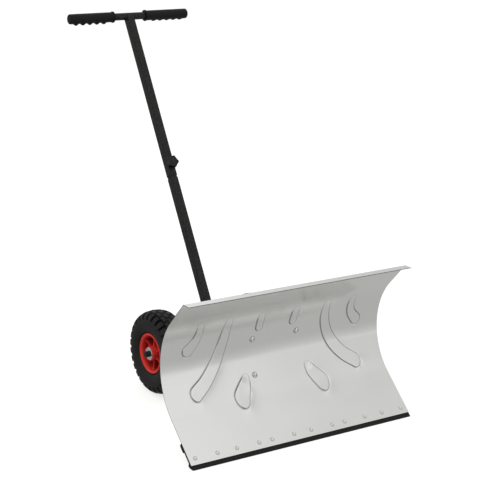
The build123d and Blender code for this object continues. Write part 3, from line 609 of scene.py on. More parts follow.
def outline(line, offset):
    """Closed outline round a centre line, offset outside the pressed edge."""
    tangent = np.gradient(line[:, :2], axis=0)
    step = np.hypot(tangent[:, 0], tangent[:, 1])
    tangent /= step[:, None]
    widening = np.clip(np.gradient(line[:, 2]) / step, -0.9, 0.9)
    heading = np.arctan2(tangent[:, 1], tangent[:, 0])
    spread = np.arccos(-widening)
    radius = line[:, 2] + offset

    def round_point(k, turn):
        angle = heading[k] + turn
        return np.stack([line[k, 0] + radius[k] * np.cos(angle),
                         line[k, 1] + radius[k] * np.sin(angle)], 1)

    def end_cap(k, start, end):
        count = max(10, int((start - end) * line[k, 2] / 1.8))
        return round_point(k, np.linspace(start, end, count + 1)[1:-1])

    def cap_points(k, start, end, sweep):
        count = max(10, int(sweep * line[k, 2] / 1.8))
        turn = np.linspace(start, end, count + 1)[1:-1]
        return np.stack([line[k, 0] + radius[k] * np.cos(heading[k] + turn),
                         line[k, 1] + radius[k] * np.sin(heading[k] + turn)], 1)

    every = np.arange(len(line))
    tail = cap_points(-1, spread[-1], -spread[-1], 2 * spread[-1])
    head = cap_points(0, -spread[0], spread[0] - 2 * pi, 2 * (pi - spread[0]))
    return np.vstack([round_point(every, spread), tail, round_point(every, -spread)[::-1], head])


# ------------------------------------------------------------------ blade sheet mesh
path = sheet_path()
ROWS = len(path)
row_z = path[:, 1] / MM
row_run = np.concatenate([[0], np.cumsum(np.hypot(*np.diff(path[:, :2], axis=0).T))]) / MM
column_x = np.linspace(-HALF_W, HALF_W, COLUMNS) / MM


def cell_corners(i, j):
    return (i, j), (i + 1, j), (i, j + 1), (i + 1, j + 1)


class SheetNet:
    """Points (x, z in mm, and path row or -1) and faces of the front of the sheet.
    Plain grid cells lie away from the pressed shapes, rings of quads follow the pressed
    edges, and triangles fill the space between."""

    def __init__(self):
        self.x, self.z, self.row, self.faces = [], [], [], []
        self.grid = {}               # point number by grid row and column
        grid_x = np.tile(column_x, ROWS)
        grid_row = np.repeat(np.arange(ROWS), COLUMNS)
        distance = np.full(grid_x.shape, 1e3)
        body = grid_row >= PLAIN_ROWS
        distance[body] = press_edge(grid_x[body], row_z[grid_row[body]])[0]
        self.distance = far = distance.reshape(ROWS, COLUMNS)
        self.plain = np.minimum.reduce(
            [far[:-1, :-1], far[1:, :-1], far[:-1, 1:], far[1:, 1:]]) > 6.5
        self.add_plain_cells()
        loops = self.add_rings()
        self.fill_between(loops)

    def add_point(self, x, z, row=-1):
        self.x.append(x)
        self.z.append(z)
        self.row.append(row)
        return len(self.x) - 1

    def grid_point(self, i, j):
        if (i, j) not in self.grid:
            self.grid[i, j] = self.add_point(column_x[j], row_z[i], i)
        return self.grid[i, j]

    def add_plain_cells(self):
        for i, j in np.argwhere(self.plain).tolist():
            self.faces.append((self.grid_point(i, j), self.grid_point(i + 1, j),
                               self.grid_point(i + 1, j + 1), self.grid_point(i, j + 1)))

    def add_rings(self):
        """Returns the outermost and innermost ring of every shape."""
        loops = []
        for line in press_lines:
            rings = [[self.add_point(*point) for point in outline(line, offset)]
                     for offset in RING_OFFSETS]
            for outer, inner in zip(rings[:-1], rings[1:]):
                for k in range(len(outer)):
                    after = (k + 1) % len(outer)
                    self.faces.append((outer[k], inner[k], inner[after], outer[after]))
            loops += [rings[0], rings[-1]]
        return loops

    def fill_between(self, loops):
        open_cells = np.argwhere(~self.plain).tolist()
        for cell in open_cells:
            for i, j in cell_corners(*cell):
                distance = self.distance[i, j]
                if distance > RING_OFFSETS[0] + 1.2 or distance < RING_OFFSETS[-1] - 1.2:
                    self.grid_point(i, j)
        wanted = sorted({self.grid[key] for cell in open_cells for key in cell_corners(*cell)
                         if key in self.grid} | {k for loop in loops for k in loop})
        local = {point: k for k, point in enumerate(wanted)}
        body_z, body_run = row_z[PLAIN_ROWS:], row_run[PLAIN_ROWS:]
        # laid out flat: x, and the distance down the sheet
        flat = [Vector((self.x[k], float(np.interp(self.z[k], body_z[::-1], body_run[::-1]))))
                for k in wanted]
        edges = []
        for loop in loops:
            edges += [(local[a], local[b]) for a, b in zip(loop, loop[1:] + loop[:1])]
        for i, j in open_cells:
            # neighbour cell, and the two ends of the edge shared with it
            for beside, start, end in (((i - 1, j), (i, j), (i, j + 1)),
                                       ((i + 1, j), (i + 1, j), (i + 1, j + 1)),
                                       ((i, j - 1), (i, j), (i + 1, j)),
                                       ((i, j + 1), (i, j + 1), (i + 1, j + 1))):
                if self.plain[beside]:
                    edges.append((local[self.grid[start]], local[self.grid[end]]))
        flat_out, _, faces, origins, _, _ = delaunay_2d_cdt(flat, edges, [], 0, 1e-5, True)
        net_point = [wanted[origin[0]] if origin else -1 for origin in origins]
        triangles = np.array([face for face in faces if len(face) == 3])
        x, run = np.array([(p[0], p[1]) for p in flat_out])[triangles].mean(1).T
        # keep the triangles in open cells that lie outside or inside all the rings
        i = np.clip(np.searchsorted(row_run, run, side="right") - 1, 0, ROWS - 2)
        j = ((x + HALF_W / MM) / (column_x[1] - column_x[0])).astype(int)
        distance = press_edge(x, np.interp(run, body_run, body_z))[0]
        keep = ~self.plain[i, np.clip(j, 0, COLUMNS - 2)] & (
            (distance > RING_OFFSETS[0] - 0.12) | (distance < RING_OFFSETS[-1] + 0.12))
        for triangle in triangles[keep]:
            face = tuple(net_point[k] for k in triangle)
            if -1 not in face:
                self.faces.append(face)


def sheet_height(x, z, row, pressed):
    """Height of the front over the plain curve, in metres, at x and z in mm."""
    height = np.zeros(len(x))
    height[pressed] = press_height(x[pressed], z[pressed]) * MM
    fade = smooth_step((row_run[np.clip(row, 0, ROWS - 1)] - 70) / 60)
    height = np.where(row >= 0, height * fade, height)
    # the sheet is not perfectly even: long shallow waves, fading towards its edges
    wave = 0.12 * MM * (np.sin(x / 74 + 1.0) * np.sin(z / 61) + 0.6 * np.sin(x / 39 + z / 83))
    inside = smooth_step((HALF_W / MM - np.abs(x)) / 40) * smooth_step((z - z.min()) / 40) \
        * smooth_step((z.max() - z - 20) / 60)
    return height + wave * inside * pressed


def mark_painted_shade(mesh, painted_shade, edge_faces):
    """Corner attribute: painted shade front and back, and 1.5 on the last faces, the sawn edges,
    painted dark as a shadow line as well as for their duller cut.
    """
    corner_verts = np.zeros(len(mesh.loops), dtype=np.int32)
    mesh.loops.foreach_get("vertex_index", corner_verts)
    values = np.concatenate([painted_shade, 0.6 * painted_shade])[corner_verts]
    starts = np.zeros(len(mesh.polygons), dtype=np.int32)
    mesh.polygons.foreach_get("loop_start", starts)
    values[starts[-edge_faces]:] = 1.5
    attribute = mesh.attributes.new("painted_shade", "FLOAT", "CORNER")
    attribute.data.foreach_set("value", values.astype(np.float32))


def build_sheet():
    net = SheetNet()
    x, z, row = np.array(net.x), np.array(net.z), np.array(net.row)
    on_grid = row >= 0
    pressed = ~(on_grid & (row < PLAIN_ROWS))
    y, lean = face_at(z * MM)
    y[on_grid], lean[on_grid] = path[row[on_grid], 0], path[row[on_grid], 2]
    height = sheet_height(x, z, row, pressed)

    def layer(rise):
        return list(np.stack([x * MM, y - np.cos(lean) * rise, z * MM - np.sin(lean) * rise], -1))

    count = len(x)
    faces = net.faces + [tuple(k + count for k in face[::-1]) for face in net.faces]
    rim = [(0, j) for j in range(COLUMNS)] + [(i, COLUMNS - 1) for i in range(1, ROWS)] \
        + [(ROWS - 1, j) for j in range(COLUMNS - 2, -1, -1)] \
        + [(i, 0) for i in range(ROWS - 2, 0, -1)]
    rim = [net.grid[key] for key in rim]
    faces += [(a, b, b + count, a + count) for a, b in zip(rim, rim[1:] + rim[:1])]
    sheet = add_mesh("blade_sheet_pressed", layer(height) + layer(height - SHEET_THICK), faces,
                     "blade_metal", "blade", "blade_sheet")
    # painted shade along the foot of the pressed edges and on the sawn edges, for the blade's
    # material
    painted_shade = np.zeros(count)
    painted_shade[pressed] = crease_painted_shade(x[pressed], z[pressed])
    mark_painted_shade(sheet.data, painted_shade, len(rim))
    face_outwards(sheet, sharp=62)


build_sheet()


# ------------------------------------------------------------------ bolts and rivets in the blade
def domed_head(origin, normal, radius, height, rim, shank_r, shank, tail_r=0.0, tail_h=0.0,
               segments=28):
    """Domed head with a thin rim, a shank behind it and, if tail_h is given, a formed tail."""
    normal = normal.normalized()
    profile = [(-shank, 0.00002)]
    if tail_h:
        profile = [(-shank - tail_h, 0.00002), (-shank - tail_h, tail_r * 0.7),
                   (-shank - tail_h * 0.4, tail_r), (-shank, tail_r)]
    profile += [(-shank, shank_r), (0.0, shank_r), (0.0, radius * 0.97), (rim * 0.4, radius),
                (rim, radius * 0.999)]
    sphere_r = (radius * radius + height * height) / (2 * height)
    for k in range(1, 11):
        across = radius * (1 - k / 10.0)
        rise = sqrt(max(sphere_r * sphere_r - across * across, 0))
        profile.append((rim + rise - (sphere_r - height), max(across, 0.00002)))
    return lathe(profile, segments, origin, normal, X_AXIS, normal.cross(X_AXIS).normalized())


def build_bolts():
    head_r = 7.4 * MM
    bolt_x = corners("blade_bolts")[1].x - head_r
    parts = []
    for x, z in ((-bolt_x, 257 * MM), (bolt_x, 257 * MM), (-bolt_x, 160 * MM)):
        lean = asin((z - CURL_Z) / CURL_R)
        seat = Vector((x, CURL_Y + CURL_R * cos(lean), z))
        normal = Vector((0, -cos(lean), -sin(lean)))
        parts.append(domed_head(seat + normal * 0.15 * MM, normal, radius=head_r, height=3.0 * MM,
                                rim=0.7 * MM, shank_r=3.0 * MM, shank=16.6 * MM))
    add_part("blade_bolts_domed", *merge(parts), "bright_bolt", "blade", "blade_bolts")


def build_rivets():
    normal = Vector((0, -cos(TOE_LEAN), sin(TOE_LEAN)))
    toe_edge = Vector((0, path[-1][0], path[-1][1]))
    up_toe = Vector((0, sin(TOE_LEAN), cos(TOE_LEAN)))
    parts = []
    for side in (-1, 1):
        for x in RIVET_X:
            seat = toe_edge + up_toe * 19.5 * MM + Vector((side * x * MM, 0, 0))
            parts.append(domed_head(seat, normal, radius=4.8 * MM, height=2.0 * MM, rim=0.4 * MM,
                                    shank_r=2.4 * MM, shank=7.6 * MM, tail_r=4.2 * MM,
                                    tail_h=1.5 * MM, segments=20))
    add_part("scraper_rivets_domed", *merge(parts), "rivet_metal", "blade", "scraper_rivets")


build_bolts()
build_rivets()

# ------------------------------------------------------------------ tyres, in mm
# sections: distance from the wheel's middle plane, radius
TYRE_OUTER = [(28.8, 61.8), (35.5, 64.5), (40.6, 77), (42.0, 92), (39.8, 106), (34.5, 115.5),
              (21, 122.3), (0, 125.0)]
TYRE_INNER = [(-28.3, 56.2), (-21.5, 56.2), (-21.5, 64), (-32.5, 76), (-34.6, 91), (-30, 104.5),
              (-17, 111.5), (0, 113.2), (17, 111.5), (30, 104.5), (34.6, 91), (32.5, 76),
              (21.5, 64), (21.5, 56.2), (28.3, 56.2)]
PITCHES = 28                         # tread blocks round the tyre
PITCH = 2 * pi * 124 / PITCHES
TYRE_STEPS = PITCHES * 20
# rows of blocks: distance across, half width, place of the slots in pitches, depth
MIDDLE_ROW, SIDE_ROW = (0.0, 6.5, 0.5, 4.5), (15.5, 6.0, 0.0, 4.5)
SHOULDER_X = 24.5                    # where the shoulder blocks begin


def block_drop(across, along, half_w, half_l, corner_r, depth):
    """Depth under a row of round-cornered blocks, across and along from a block's middle."""
    past_w = np.abs(across) - half_w + corner_r
    past_l = np.abs(along) - half_l + corner_r
    outside = np.hypot(np.maximum(past_w, 0), np.maximum(past_l, 0)) \
        + np.minimum(np.maximum(past_w, past_l), 0) - corner_r
    return depth * smooth_step((outside + 0.75) / 1.5)


def tread_drop(x, radius, inside, turns):
    """Depth of the tread all round the tyre at one station of its section.
    inside: distance along the section from the shoulder towards the crown;
    turns: places round the tyre, in pitches."""
    drop = np.zeros(len(turns))
    across = abs(x)
    if radius > 96 and across < 23.0:
        row_x, half_w, slot, depth = MIDDLE_ROW if across < 8.0 else SIDE_ROW
        # slots stand at the row's turn, blocks half a pitch on
        along = ((turns - slot) % 1.0 - 0.5) * PITCH
        slant = 0.0 if row_x == 0 else (across - row_x) * 0.22 * (1 if x > 0 else -1)
        drop = block_drop(across - row_x, along + slant, half_w, PITCH / 2 - 4.3, 2.6, depth)
    elif radius > 96:
        along = ((turns - 0.5) % 1.0 - 0.5) * PITCH
        narrowing = 0.4 + 1.0 * smooth_step((112 - radius) / 7)
        depth = 8.0 * smooth_step((radius - 98.5) / 9.0)
        blocks = block_drop(max(inside + 8.0, 0.0), along, 8.0, PITCH / 2 - 4.4 - narrowing,
                            2.4, 1.0)
        drop = np.maximum(blocks * depth, 4.5 * smooth_step((inside + 0.75) / 1.5))
    if radius < 101:
        # two raised rings on the side wall
        drop = drop - 0.6 * exp(-((radius - 69.5) / 1.1) ** 2)
        drop = drop - 0.35 * exp(-((radius - 84.0) / 0.8) ** 2)
    return drop


def build_tyre(body, node):
    center = middle(node)
    half = [tuple(point) for point in spline([Vector(p) for p in TYRE_OUTER], 14)]
    section = np.array(half + [(-x, radius) for x, radius in half[-2::-1]])
    run = np.concatenate([[0], np.cumsum(np.hypot(*np.diff(section, axis=0).T))])
    count = int(run[-1] / 1.25)
    even = np.linspace(0, run[-1], count)
    x, radius = (np.interp(even, run, section[:, k]) for k in (0, 1))
    along_x, along_r = np.gradient(x), np.gradient(radius)
    length = np.hypot(along_x, along_r)
    out_x, out_r = -along_r / length, along_x / length
    if out_r[count // 2] < 0:
        out_x, out_r = -out_x, -out_r
    from_crown = np.abs(even - even[-1] / 2)
    shoulder = np.interp(SHOULDER_X, np.abs(x[count // 2:]), from_crown[count // 2:])
    angle = np.arange(TYRE_STEPS) * 2 * pi / TYRE_STEPS
    turns = angle / (2 * pi / PITCHES)
    drop = np.stack([tread_drop(x[j], radius[j], shoulder - from_crown[j], turns)
                     for j in range(count)], 1)
    inner_x, inner_r = (np.tile(column, (TYRE_STEPS, 1)) for column in np.array(TYRE_INNER).T)
    all_x = np.concatenate([x - out_x * drop, inner_x], 1)
    all_r = np.minimum(np.concatenate([radius - out_r * drop, inner_r], 1), 124.98)
    verts = np.stack([center.x + all_x * MM,
                      center.y + all_r * MM * np.cos(angle)[:, None],
                      center.z + all_r * MM * np.sin(angle)[:, None]], -1).reshape(-1, 3)
    faces = grid_faces(TYRE_STEPS, count + len(TYRE_INNER), wrap_rows=True, wrap=True)
    add_part(body + "_tyre_tread", verts, faces, "tyre_rubber", body, node, sharp=48)


# ------------------------------------------------------------------ rims, in mm
RIB_RADII = [21.0, 24, 28, 33, 38, 43, 47, 50.6]
# rib section: across and out, as parts of the half width and the height
RIB_SECTION = [(-1, 0), (-1, 0.72), (-0.86, 0.9), (-0.55, 0.985), (0, 1.0), (0.55, 0.985),
               (0.86, 0.9), (1, 0.72), (1, 0)]
RIB_FOOT = 0.6


def arc(along, radius, bend_r, start, end, steps):
    """Points of an arc, angles in degrees."""
    angles = [radians(start + (end - start) * k / steps) for k in range(steps + 1)]
    return [(along + bend_r * cos(a), radius + bend_r * sin(a)) for a in angles]


def rim_profile(hub_in, hub_out):
    """Closed section between the hub's two ends: distance outwards, radius."""
    return [(hub_in, 14.02), (hub_in, 21.5), (hub_in + 0.5, 22), (-7, 23.2), (-6, 25), (-6, 47),
            (-7.5, 49.3), (-31, 50.3), (-34, 51.6), (-34.5, 53.5), (-34.5, 58.2),
            *arc(-32.6, 59.1, 1.9, 180, 20, 6),
            (-29.6, 56), (28.6, 56), (29.4, 57.6),
            *arc(32.3, 57.7, 3.4, 150, -35, 12),           # rolled outer lip
            (34.3, 53.6), (32.6, 51.9), (29.5, 50.7), (20, 49.9), (6, 49.0), (2.4, 47.5), (1, 45),
            (1, 27), (2.2, 24.4), (4.5, 23.2), (hub_out - 2.2, 21.4), (hub_out - 0.6, 20.8),
            (hub_out, 19.6), (hub_out, 14.02)]


def rim_rib(center, axis, angle):
    """Radial rib with a crowned front, wider at both ends."""
    out = Vector((0, cos(angle), sin(angle)))
    across = axis.cross(out)
    rows, count = len(RIB_RADII), len(RIB_SECTION)
    verts = []
    for i, radius in enumerate(RIB_RADII):
        t = i / (rows - 1)
        half_w = 2.4 + 2.4 * (2 * abs(t - 0.5)) ** 2.6
        top = 25.0 - 2.6 * sin(pi * t) ** 0.8
        for side, rise in RIB_SECTION:
            verts.append(center + axis * (RIB_FOOT + (top - RIB_FOOT) * rise) * MM
                         + out * radius * MM + across * half_w * side * MM)
    faces = grid_faces(rows, count)
    # close the bottom and both ends
    for i in range(rows - 1):
        start, after = i * count, (i + 1) * count
        faces.append((start, start + count - 1, after + count - 1, after))
    faces.append(tuple(range(count)))
    faces.append(tuple(range((rows - 1) * count, rows * count))[::-1])
    return verts, faces


def build_rim(side, body, node, tyre):
    center = middle(tyre)
    low, high = corners(node)
    hub_out = (high.x if side > 0 else -low.x) / MM - abs(center.x) / MM
    profile = rim_profile(hub_out - (high.x - low.x) / MM, hub_out)
    axis = Vector((side, 0, 0))
    parts = [lathe([(along * MM, radius * MM) for along, radius in profile], 120, center, axis,
                   Y_AXIS, Z_AXIS)]
    parts += [rim_rib(center, axis, radians(90 + 60 * k)) for k in range(6)]
    add_part(body + "_rim_moulded", *merge(parts), "red_plastic", body, node)


build_tyre("right_wheel", "right_tyre")
build_tyre("left_wheel", "left_tyre")
build_rim(1, "right_wheel", "right_rim", "right_tyre")
build_rim(-1, "left_wheel", "left_rim", "left_tyre")

# ------------------------------------------------------------------ handlebar grips
bar_low, bar_high = corners("handlebar")
bar = middle("handlebar")
bar_r = (bar_high.z - bar_low.z) / 2

GRIP_R, GRIP_END_R, GRIP_ROUND = 15.5, 10.5, 5.0           # mm
GRIP_BACK = 17.46                    # the grip reaches no further back than its ring, mm
GRIP_ROWS, GRIP_STEPS = 230, 80


def grip_radius(x, end, angle, finger_angle):
    """Radius in mm at x from the inner end and end from the outer end, and round the bar."""
    base = np.full(len(x), GRIP_R) + 2.0 * smooth_step((5.2 - x) / 1.2)
    base -= 1.2 * (1 - np.sqrt(np.clip(1 - (1 - x / 1.2) ** 2, 0, 1))) * (x < 1.2)
    rounded = np.sqrt(np.maximum(GRIP_ROUND ** 2 - (GRIP_ROUND - end) ** 2, 0.0))
    base = np.where(end < GRIP_ROUND, GRIP_R - GRIP_ROUND + rounded, base)
    base = np.maximum(base, GRIP_END_R)
    # five finger swellings: narrow crests with wide round valleys between
    swell = np.zeros(len(x))
    for i in range(5):
        from_crest = np.clip((end - 23 - 23.9 * i) / -12.0, -1, 1)
        swell = np.maximum(swell, (0.5 + 0.5 * np.cos(pi * from_crest)) ** 1.5)
    facing = np.cos(angle - finger_angle)
    fingers = 5.1 * swell[:, None] * np.clip(facing, 0, 1) ** 1.8
    # fine length-wise lands on the side away from the fingers
    away = smooth_step((0.35 - facing) / 0.5)
    lands = 0.22 * (np.cos(angle * 20) > 0) * smooth_step((x - 9) / 4)[:, None] \
        * smooth_step((end - 9) / 4)[:, None]
    radius = base[:, None] + fingers * smooth_step(end / 8)[:, None] - lands * away
    return np.minimum(radius, GRIP_BACK / np.maximum(np.cos(angle), 0.05))


def build_grip(side, node, turn):
    """Sleeve with a ring at its inner end and finger swellings pointing to one side.
    turn: 0 straight down, + to the back, - to the front, in degrees."""
    low, high = corners(node)
    inner = low.x if side > 0 else -high.x
    outer = high.x if side > 0 else -low.x
    bore_end = outer - 3.2 * MM
    length = (outer - inner) / MM
    count = GRIP_STEPS
    t = np.linspace(0, 1, GRIP_ROWS)
    x = length * (t - 0.05 * np.sin(2 * pi * t))           # denser rows at both ends
    angle = np.arange(count) * 2 * pi / count
    finger_angle = atan2(-cos(radians(turn)), sin(radians(turn)))
    radius = grip_radius(x, length - x, angle, finger_angle)
    verts = []
    faces = grid_faces(GRIP_ROWS, count, wrap=True)

    def add_ring(ring_x, radii):
        """Adds a ring of points round the bar and returns the number of its first."""
        for r, a in zip(radii, angle):
            verts.append(Vector((side * ring_x, bar.y + r * cos(a), bar.z + r * sin(a))))
        return len(verts) - count

    def join(first, second):
        for j in range(count):
            beside = (j + 1) % count
            faces.append((first + j, first + beside, second + beside, second + j))

    def close(ring, center_x):
        verts.append(Vector((side * center_x, bar.y, bar.z)))
        for j in range(count):
            faces.append((ring + j, ring + (j + 1) % count, len(verts) - 1))

    for row_x, row_radii in zip(x, radius):
        last = add_ring(inner + row_x * MM, row_radii * MM)
    # flat outer end
    for part in (0.55, 0.2):
        ring = add_ring(outer, [GRIP_END_R * part * MM] * count)
        join(last, ring)
        last = ring
    close(last, outer)
    # bore, closed inside the outer end
    bore_radii = [bar_r + 0.02 * MM] * count
    bore = add_ring(inner + 0.01 * MM, bore_radii)
    bore_last = add_ring(bore_end, bore_radii)
    faces.extend(grid_faces(2, count, first=bore, wrap=True))
    join(0, bore)
    close(bore_last, bore_end)
    add_part(node + "_sleeve", verts, faces, "grip_rubber", "upper_handle", node)


build_grip(1, "right_grip", turn=38.0)
build_grip(-1, "left_grip", turn=-10.0)


# ------------------------------------------------------------------ clamp knobs, in mm
def star_radius(angle, radius):
    """Outline of a five-sided head with hollowed sides, radius to its rounded corners."""
    scale = radius / 19.54
    corner, hollow, corner_r = 21.4 * scale, 1.2 * scale, 4.0 * scale
    half_side = radians(36)
    from_corner = np.abs((angle - radians(65) + half_side) % radians(72) - half_side)
    from_side = half_side - from_corner
    dent = hollow * (1 - (np.tan(from_side) / tan(half_side)) ** 2)
    side = (corner * cos(half_side) - dent) / np.cos(from_side)
    arc_center = corner - corner_r / sin(radians(43))
    rounded = arc_center * np.cos(from_corner) + np.sqrt(
        np.maximum(corner_r ** 2 - (arc_center * np.sin(from_corner)) ** 2, 0))
    return np.where(from_corner < radians(9.1), np.minimum(rounded, side), side)


def build_knob(node, origin, axis, neck_r, neck_h, height, radius):
    """Clamp knob: neck, five-sided head with rounded edges, dished top with a low cap in it."""
    side_b = axis.cross(X_AXIS).normalized()
    count = 200
    angle = np.arange(count) * 2 * pi / count
    star = star_radius(angle, radius)
    head_h = height - neck_h
    top = neck_h + head_h

    def inset(depth):
        """The outline pulled in by depth, rounder as it goes."""
        pulled = star - depth
        return pulled + (pulled.mean() - pulled) * min(depth / 14.0, 1.0)

    def circle(size):
        return np.full(count, size)

    rows = [(0.0, circle(neck_r - 0.6)), (0.5, circle(neck_r)), (neck_h - 0.5, circle(neck_r)),
            (neck_h, inset(6.5)), (neck_h + 0.05, inset(2.0))]
    for k in range(1, 5):
        turn = pi / 2 * k / 4
        rows.append((neck_h + 1.4 * (1 - cos(turn)), inset(1.4 - 1.4 * sin(turn))))
    rows.append((neck_h + head_h * 0.5, inset(0)))
    for k in range(7):
        turn = pi / 2 * k / 6
        rows.append((top - 2.4 + 2.4 * sin(turn), inset(2.4 - 2.4 * cos(turn))))
    rows += [(top - 0.05, inset(3.4)), (top - 0.5, inset(4.4)), (top - 1.3, inset(5.2)),
             (top - 1.5, inset(6.0)), (top - 1.5, circle(radius * 0.46)),
             (top - 1.0, circle(radius * 0.43)), (top - 0.5, circle(radius * 0.40)),
             (top - 0.25, circle(radius * 0.33)), (top - 0.15, circle(radius * 0.1))]
    verts = [origin + axis * along * MM
             + (X_AXIS * cos(angle[j]) + side_b * sin(angle[j])) * float(radii[j]) * MM
             for along, radii in rows for j in range(count)]
    faces = grid_faces(len(rows), count, wrap=True)
    last, top_center = (len(rows) - 1) * count, len(verts)
    verts += [origin + axis * (top - 0.15) * MM, origin.copy()]
    faces += [(last + j, last + (j + 1) % count, top_center) for j in range(count)]
    faces += [((j + 1) % count, j, top_center + 1) for j in range(count)]
    add_part(node + "_star", verts, faces, "black_plastic", node, node, sharp=42)


def build_height_knob():
    joint = joints["height_knob_turn"]
    axis = Vector(joint["axis"]).normalized()
    stud = Vector(joint["pos_m"])
    points = [p - stud for p in cad_points("height_knob")]
    along = [p.dot(axis) for p in points]
    radius = max((p - axis * p.dot(axis)).length for p in points)
    build_knob("height_knob", stud + axis * min(along), axis, neck_r=10.0, neck_h=3.0,
               height=(max(along) - min(along)) / MM, radius=radius / MM)


def build_angle_knob():
    place = joints["angle_knob_turn"]["pos_m"]
    low, high = corners("angle_knob")
    seat = Vector((place[0], place[1], low.z))
    radius = max(hypot(p.x - seat.x, p.y - seat.y) for p in cad_points("angle_knob"))
    build_knob("angle_knob", seat, Z_AXIS, neck_r=9.5, neck_h=9.0,
               height=(high.z - low.z) / MM, radius=radius / MM)


build_height_knob()
build_angle_knob()


# ------------------------------------------------------------------ weld beads
def bead(points, radius, seed, closed=False):
    """Round bead of uneven thickness along the points."""
    phase = np.random.default_rng(seed).random(4) * 6.28
    count, segments = len(points), 8
    verts = []
    across = None
    for i, point in enumerate(points):
        before = points[(i - 1) % count] if closed or i > 0 else points[0]
        after = points[(i + 1) % count] if closed or i < count - 1 else points[-1]
        along = (after - before).normalized()
        if across is None:
            across = along.orthogonal().normalized()
        across = (across - along * across.dot(along)).normalized()
        other = along.cross(across)
        uneven = 1.0 + 0.096 * sin(i * 1.9 + phase[0]) + 0.08 * sin(i * 0.37 + phase[1])
        for k in range(segments):
            turn = 2 * pi * k / segments
            verts.append(point + (across * cos(turn) + other * sin(turn)) * (radius * uneven))
    faces = grid_faces(count, segments, wrap_rows=closed, wrap=True)
    if not closed:
        faces.append(tuple(range(segments))[::-1])
        faces.append(tuple(range((count - 1) * segments, count * segments)))
    return verts, faces


def square_path(half_a, half_b, steps_for):
    """Points (a, b) round a rectangle, with steps_for(length) steps on each side."""
    ends = [(-half_a, -half_b), (half_a, -half_b), (half_a, half_b), (-half_a, half_b)]
    points = []
    for (a, b), (next_a, next_b) in zip(ends, ends[1:] + ends[:1]):
        steps = steps_for(hypot(next_a - a, next_b - b))
        points += [(a + (next_a - a) * i / steps, b + (next_b - b) * i / steps)
                   for i in range(steps)]
    return points


tube_axis = Vector(joints["handle_draw"]["axis"]).normalized()
tube_lean = atan2(tube_axis.y, tube_axis.z)
tube_low, tube_high = corners("handle_lower_tube")
tube_half = (tube_high.x - tube_low.x) / 2 / MM


def build_chassis_welds():
    """Beads round the foot of the handle tube and round the axle tube at the beam's ends."""
    foot_y = tube_low.y + tube_half / cos(tube_lean) * MM
    foot = Vector((0, foot_y, tube_low.z + 0.6 * MM))
    around = square_path(tube_half + 0.2, tube_half / cos(tube_lean) + 0.3,
                         lambda length: max(2, int(length / 1.1)))
    beads = [bead([foot + X_AXIS * a * MM + Y_AXIS * b * MM for a, b in around],
                  1.9 * MM, seed=1, closed=True)]
    axle_low, axle_high = corners("axle_tube")
    axle = (axle_low + axle_high) / 2
    ring_r = (axle_high.z - axle_low.z) / 2 + 0.4 * MM
    beam_end = corners("chassis_beam")[1].x + 0.5 * MM
    for side in (-1, 1):
        ring = [Vector((side * beam_end, axle.y + ring_r * cos(a), axle.z + ring_r * sin(a)))
                for a in np.linspace(0, 2 * pi, 60, endpoint=False)]
        beads.append(bead(ring, 1.7 * MM, seed=2 + side, closed=True))
    add_part("chassis_welds", *merge(beads), "black_steel", "chassis")


def build_handlebar_weld():
    """Saddle-shaped bead where the square tube meets the round bar."""
    tube_side = Vector((0, cos(tube_lean), -sin(tube_lean)))
    half = (tube_half - 0.1) * MM
    most = bar_r * 0.985
    points = []
    for a, b in square_path(1, 1, lambda length: 24):
        off = max(min(b * half, most), -most)
        down = sqrt(max(bar_r ** 2 - off ** 2, 0))
        points.append(bar + Vector((a * (half + 0.3 * MM), 0, 0)) + tube_side * off
                      - tube_axis * (down + 0.4 * MM))
    add_part("handlebar_weld", *bead(points, 1.6 * MM, seed=9, closed=True), "black_steel",
             "upper_handle")


def build_bracket_welds():
    """Beads along both faces of both ribs, on the swivel plate and up the curved plate."""
    low, high = corners("bracket_ribs")
    plate_top = corners("swivel_plate")[1].z
    curve_r = CURL_R + SHEET_THICK + 3 * MM + 0.4 * MM
    beads = []
    for x, side in ((low.x, -1), (low.x + 4 * MM, 1), (high.x - 4 * MM, -1), (high.x, 1)):
        # the outer face of the first rib and the inner face of the second look to -x
        side = -1 if x in (low.x, high.x - 4 * MM) else 1
        bead_x = x + side * 0.5 * MM
        seed = int(abs(x) * 1000) + side
        flat = [Vector((bead_x, y, plate_top + 0.5 * MM))
                for y in np.linspace(low.y + 2 * MM, high.y - 3 * MM, 46)]
        beads.append(bead(flat, 1.5 * MM, seed))
        curved = [Vector((bead_x, CURL_Y + curve_r * cos(asin((z - CURL_Z) / curve_r)), z))
                  for z in np.linspace(plate_top + 3 * MM, high.z - 3 * MM, 60)]
        beads.append(bead(curved, 1.5 * MM, seed + 7))
    add_part("bracket_welds", *merge(beads), "black_steel", "blade")


build_chassis_welds()
build_handlebar_weld()
build_bracket_welds()

# ------------------------------------------------------------------ floor
FLOOR_R, FLOOR_SIDES, FLOOR_Z = 60, 64, -0.0006


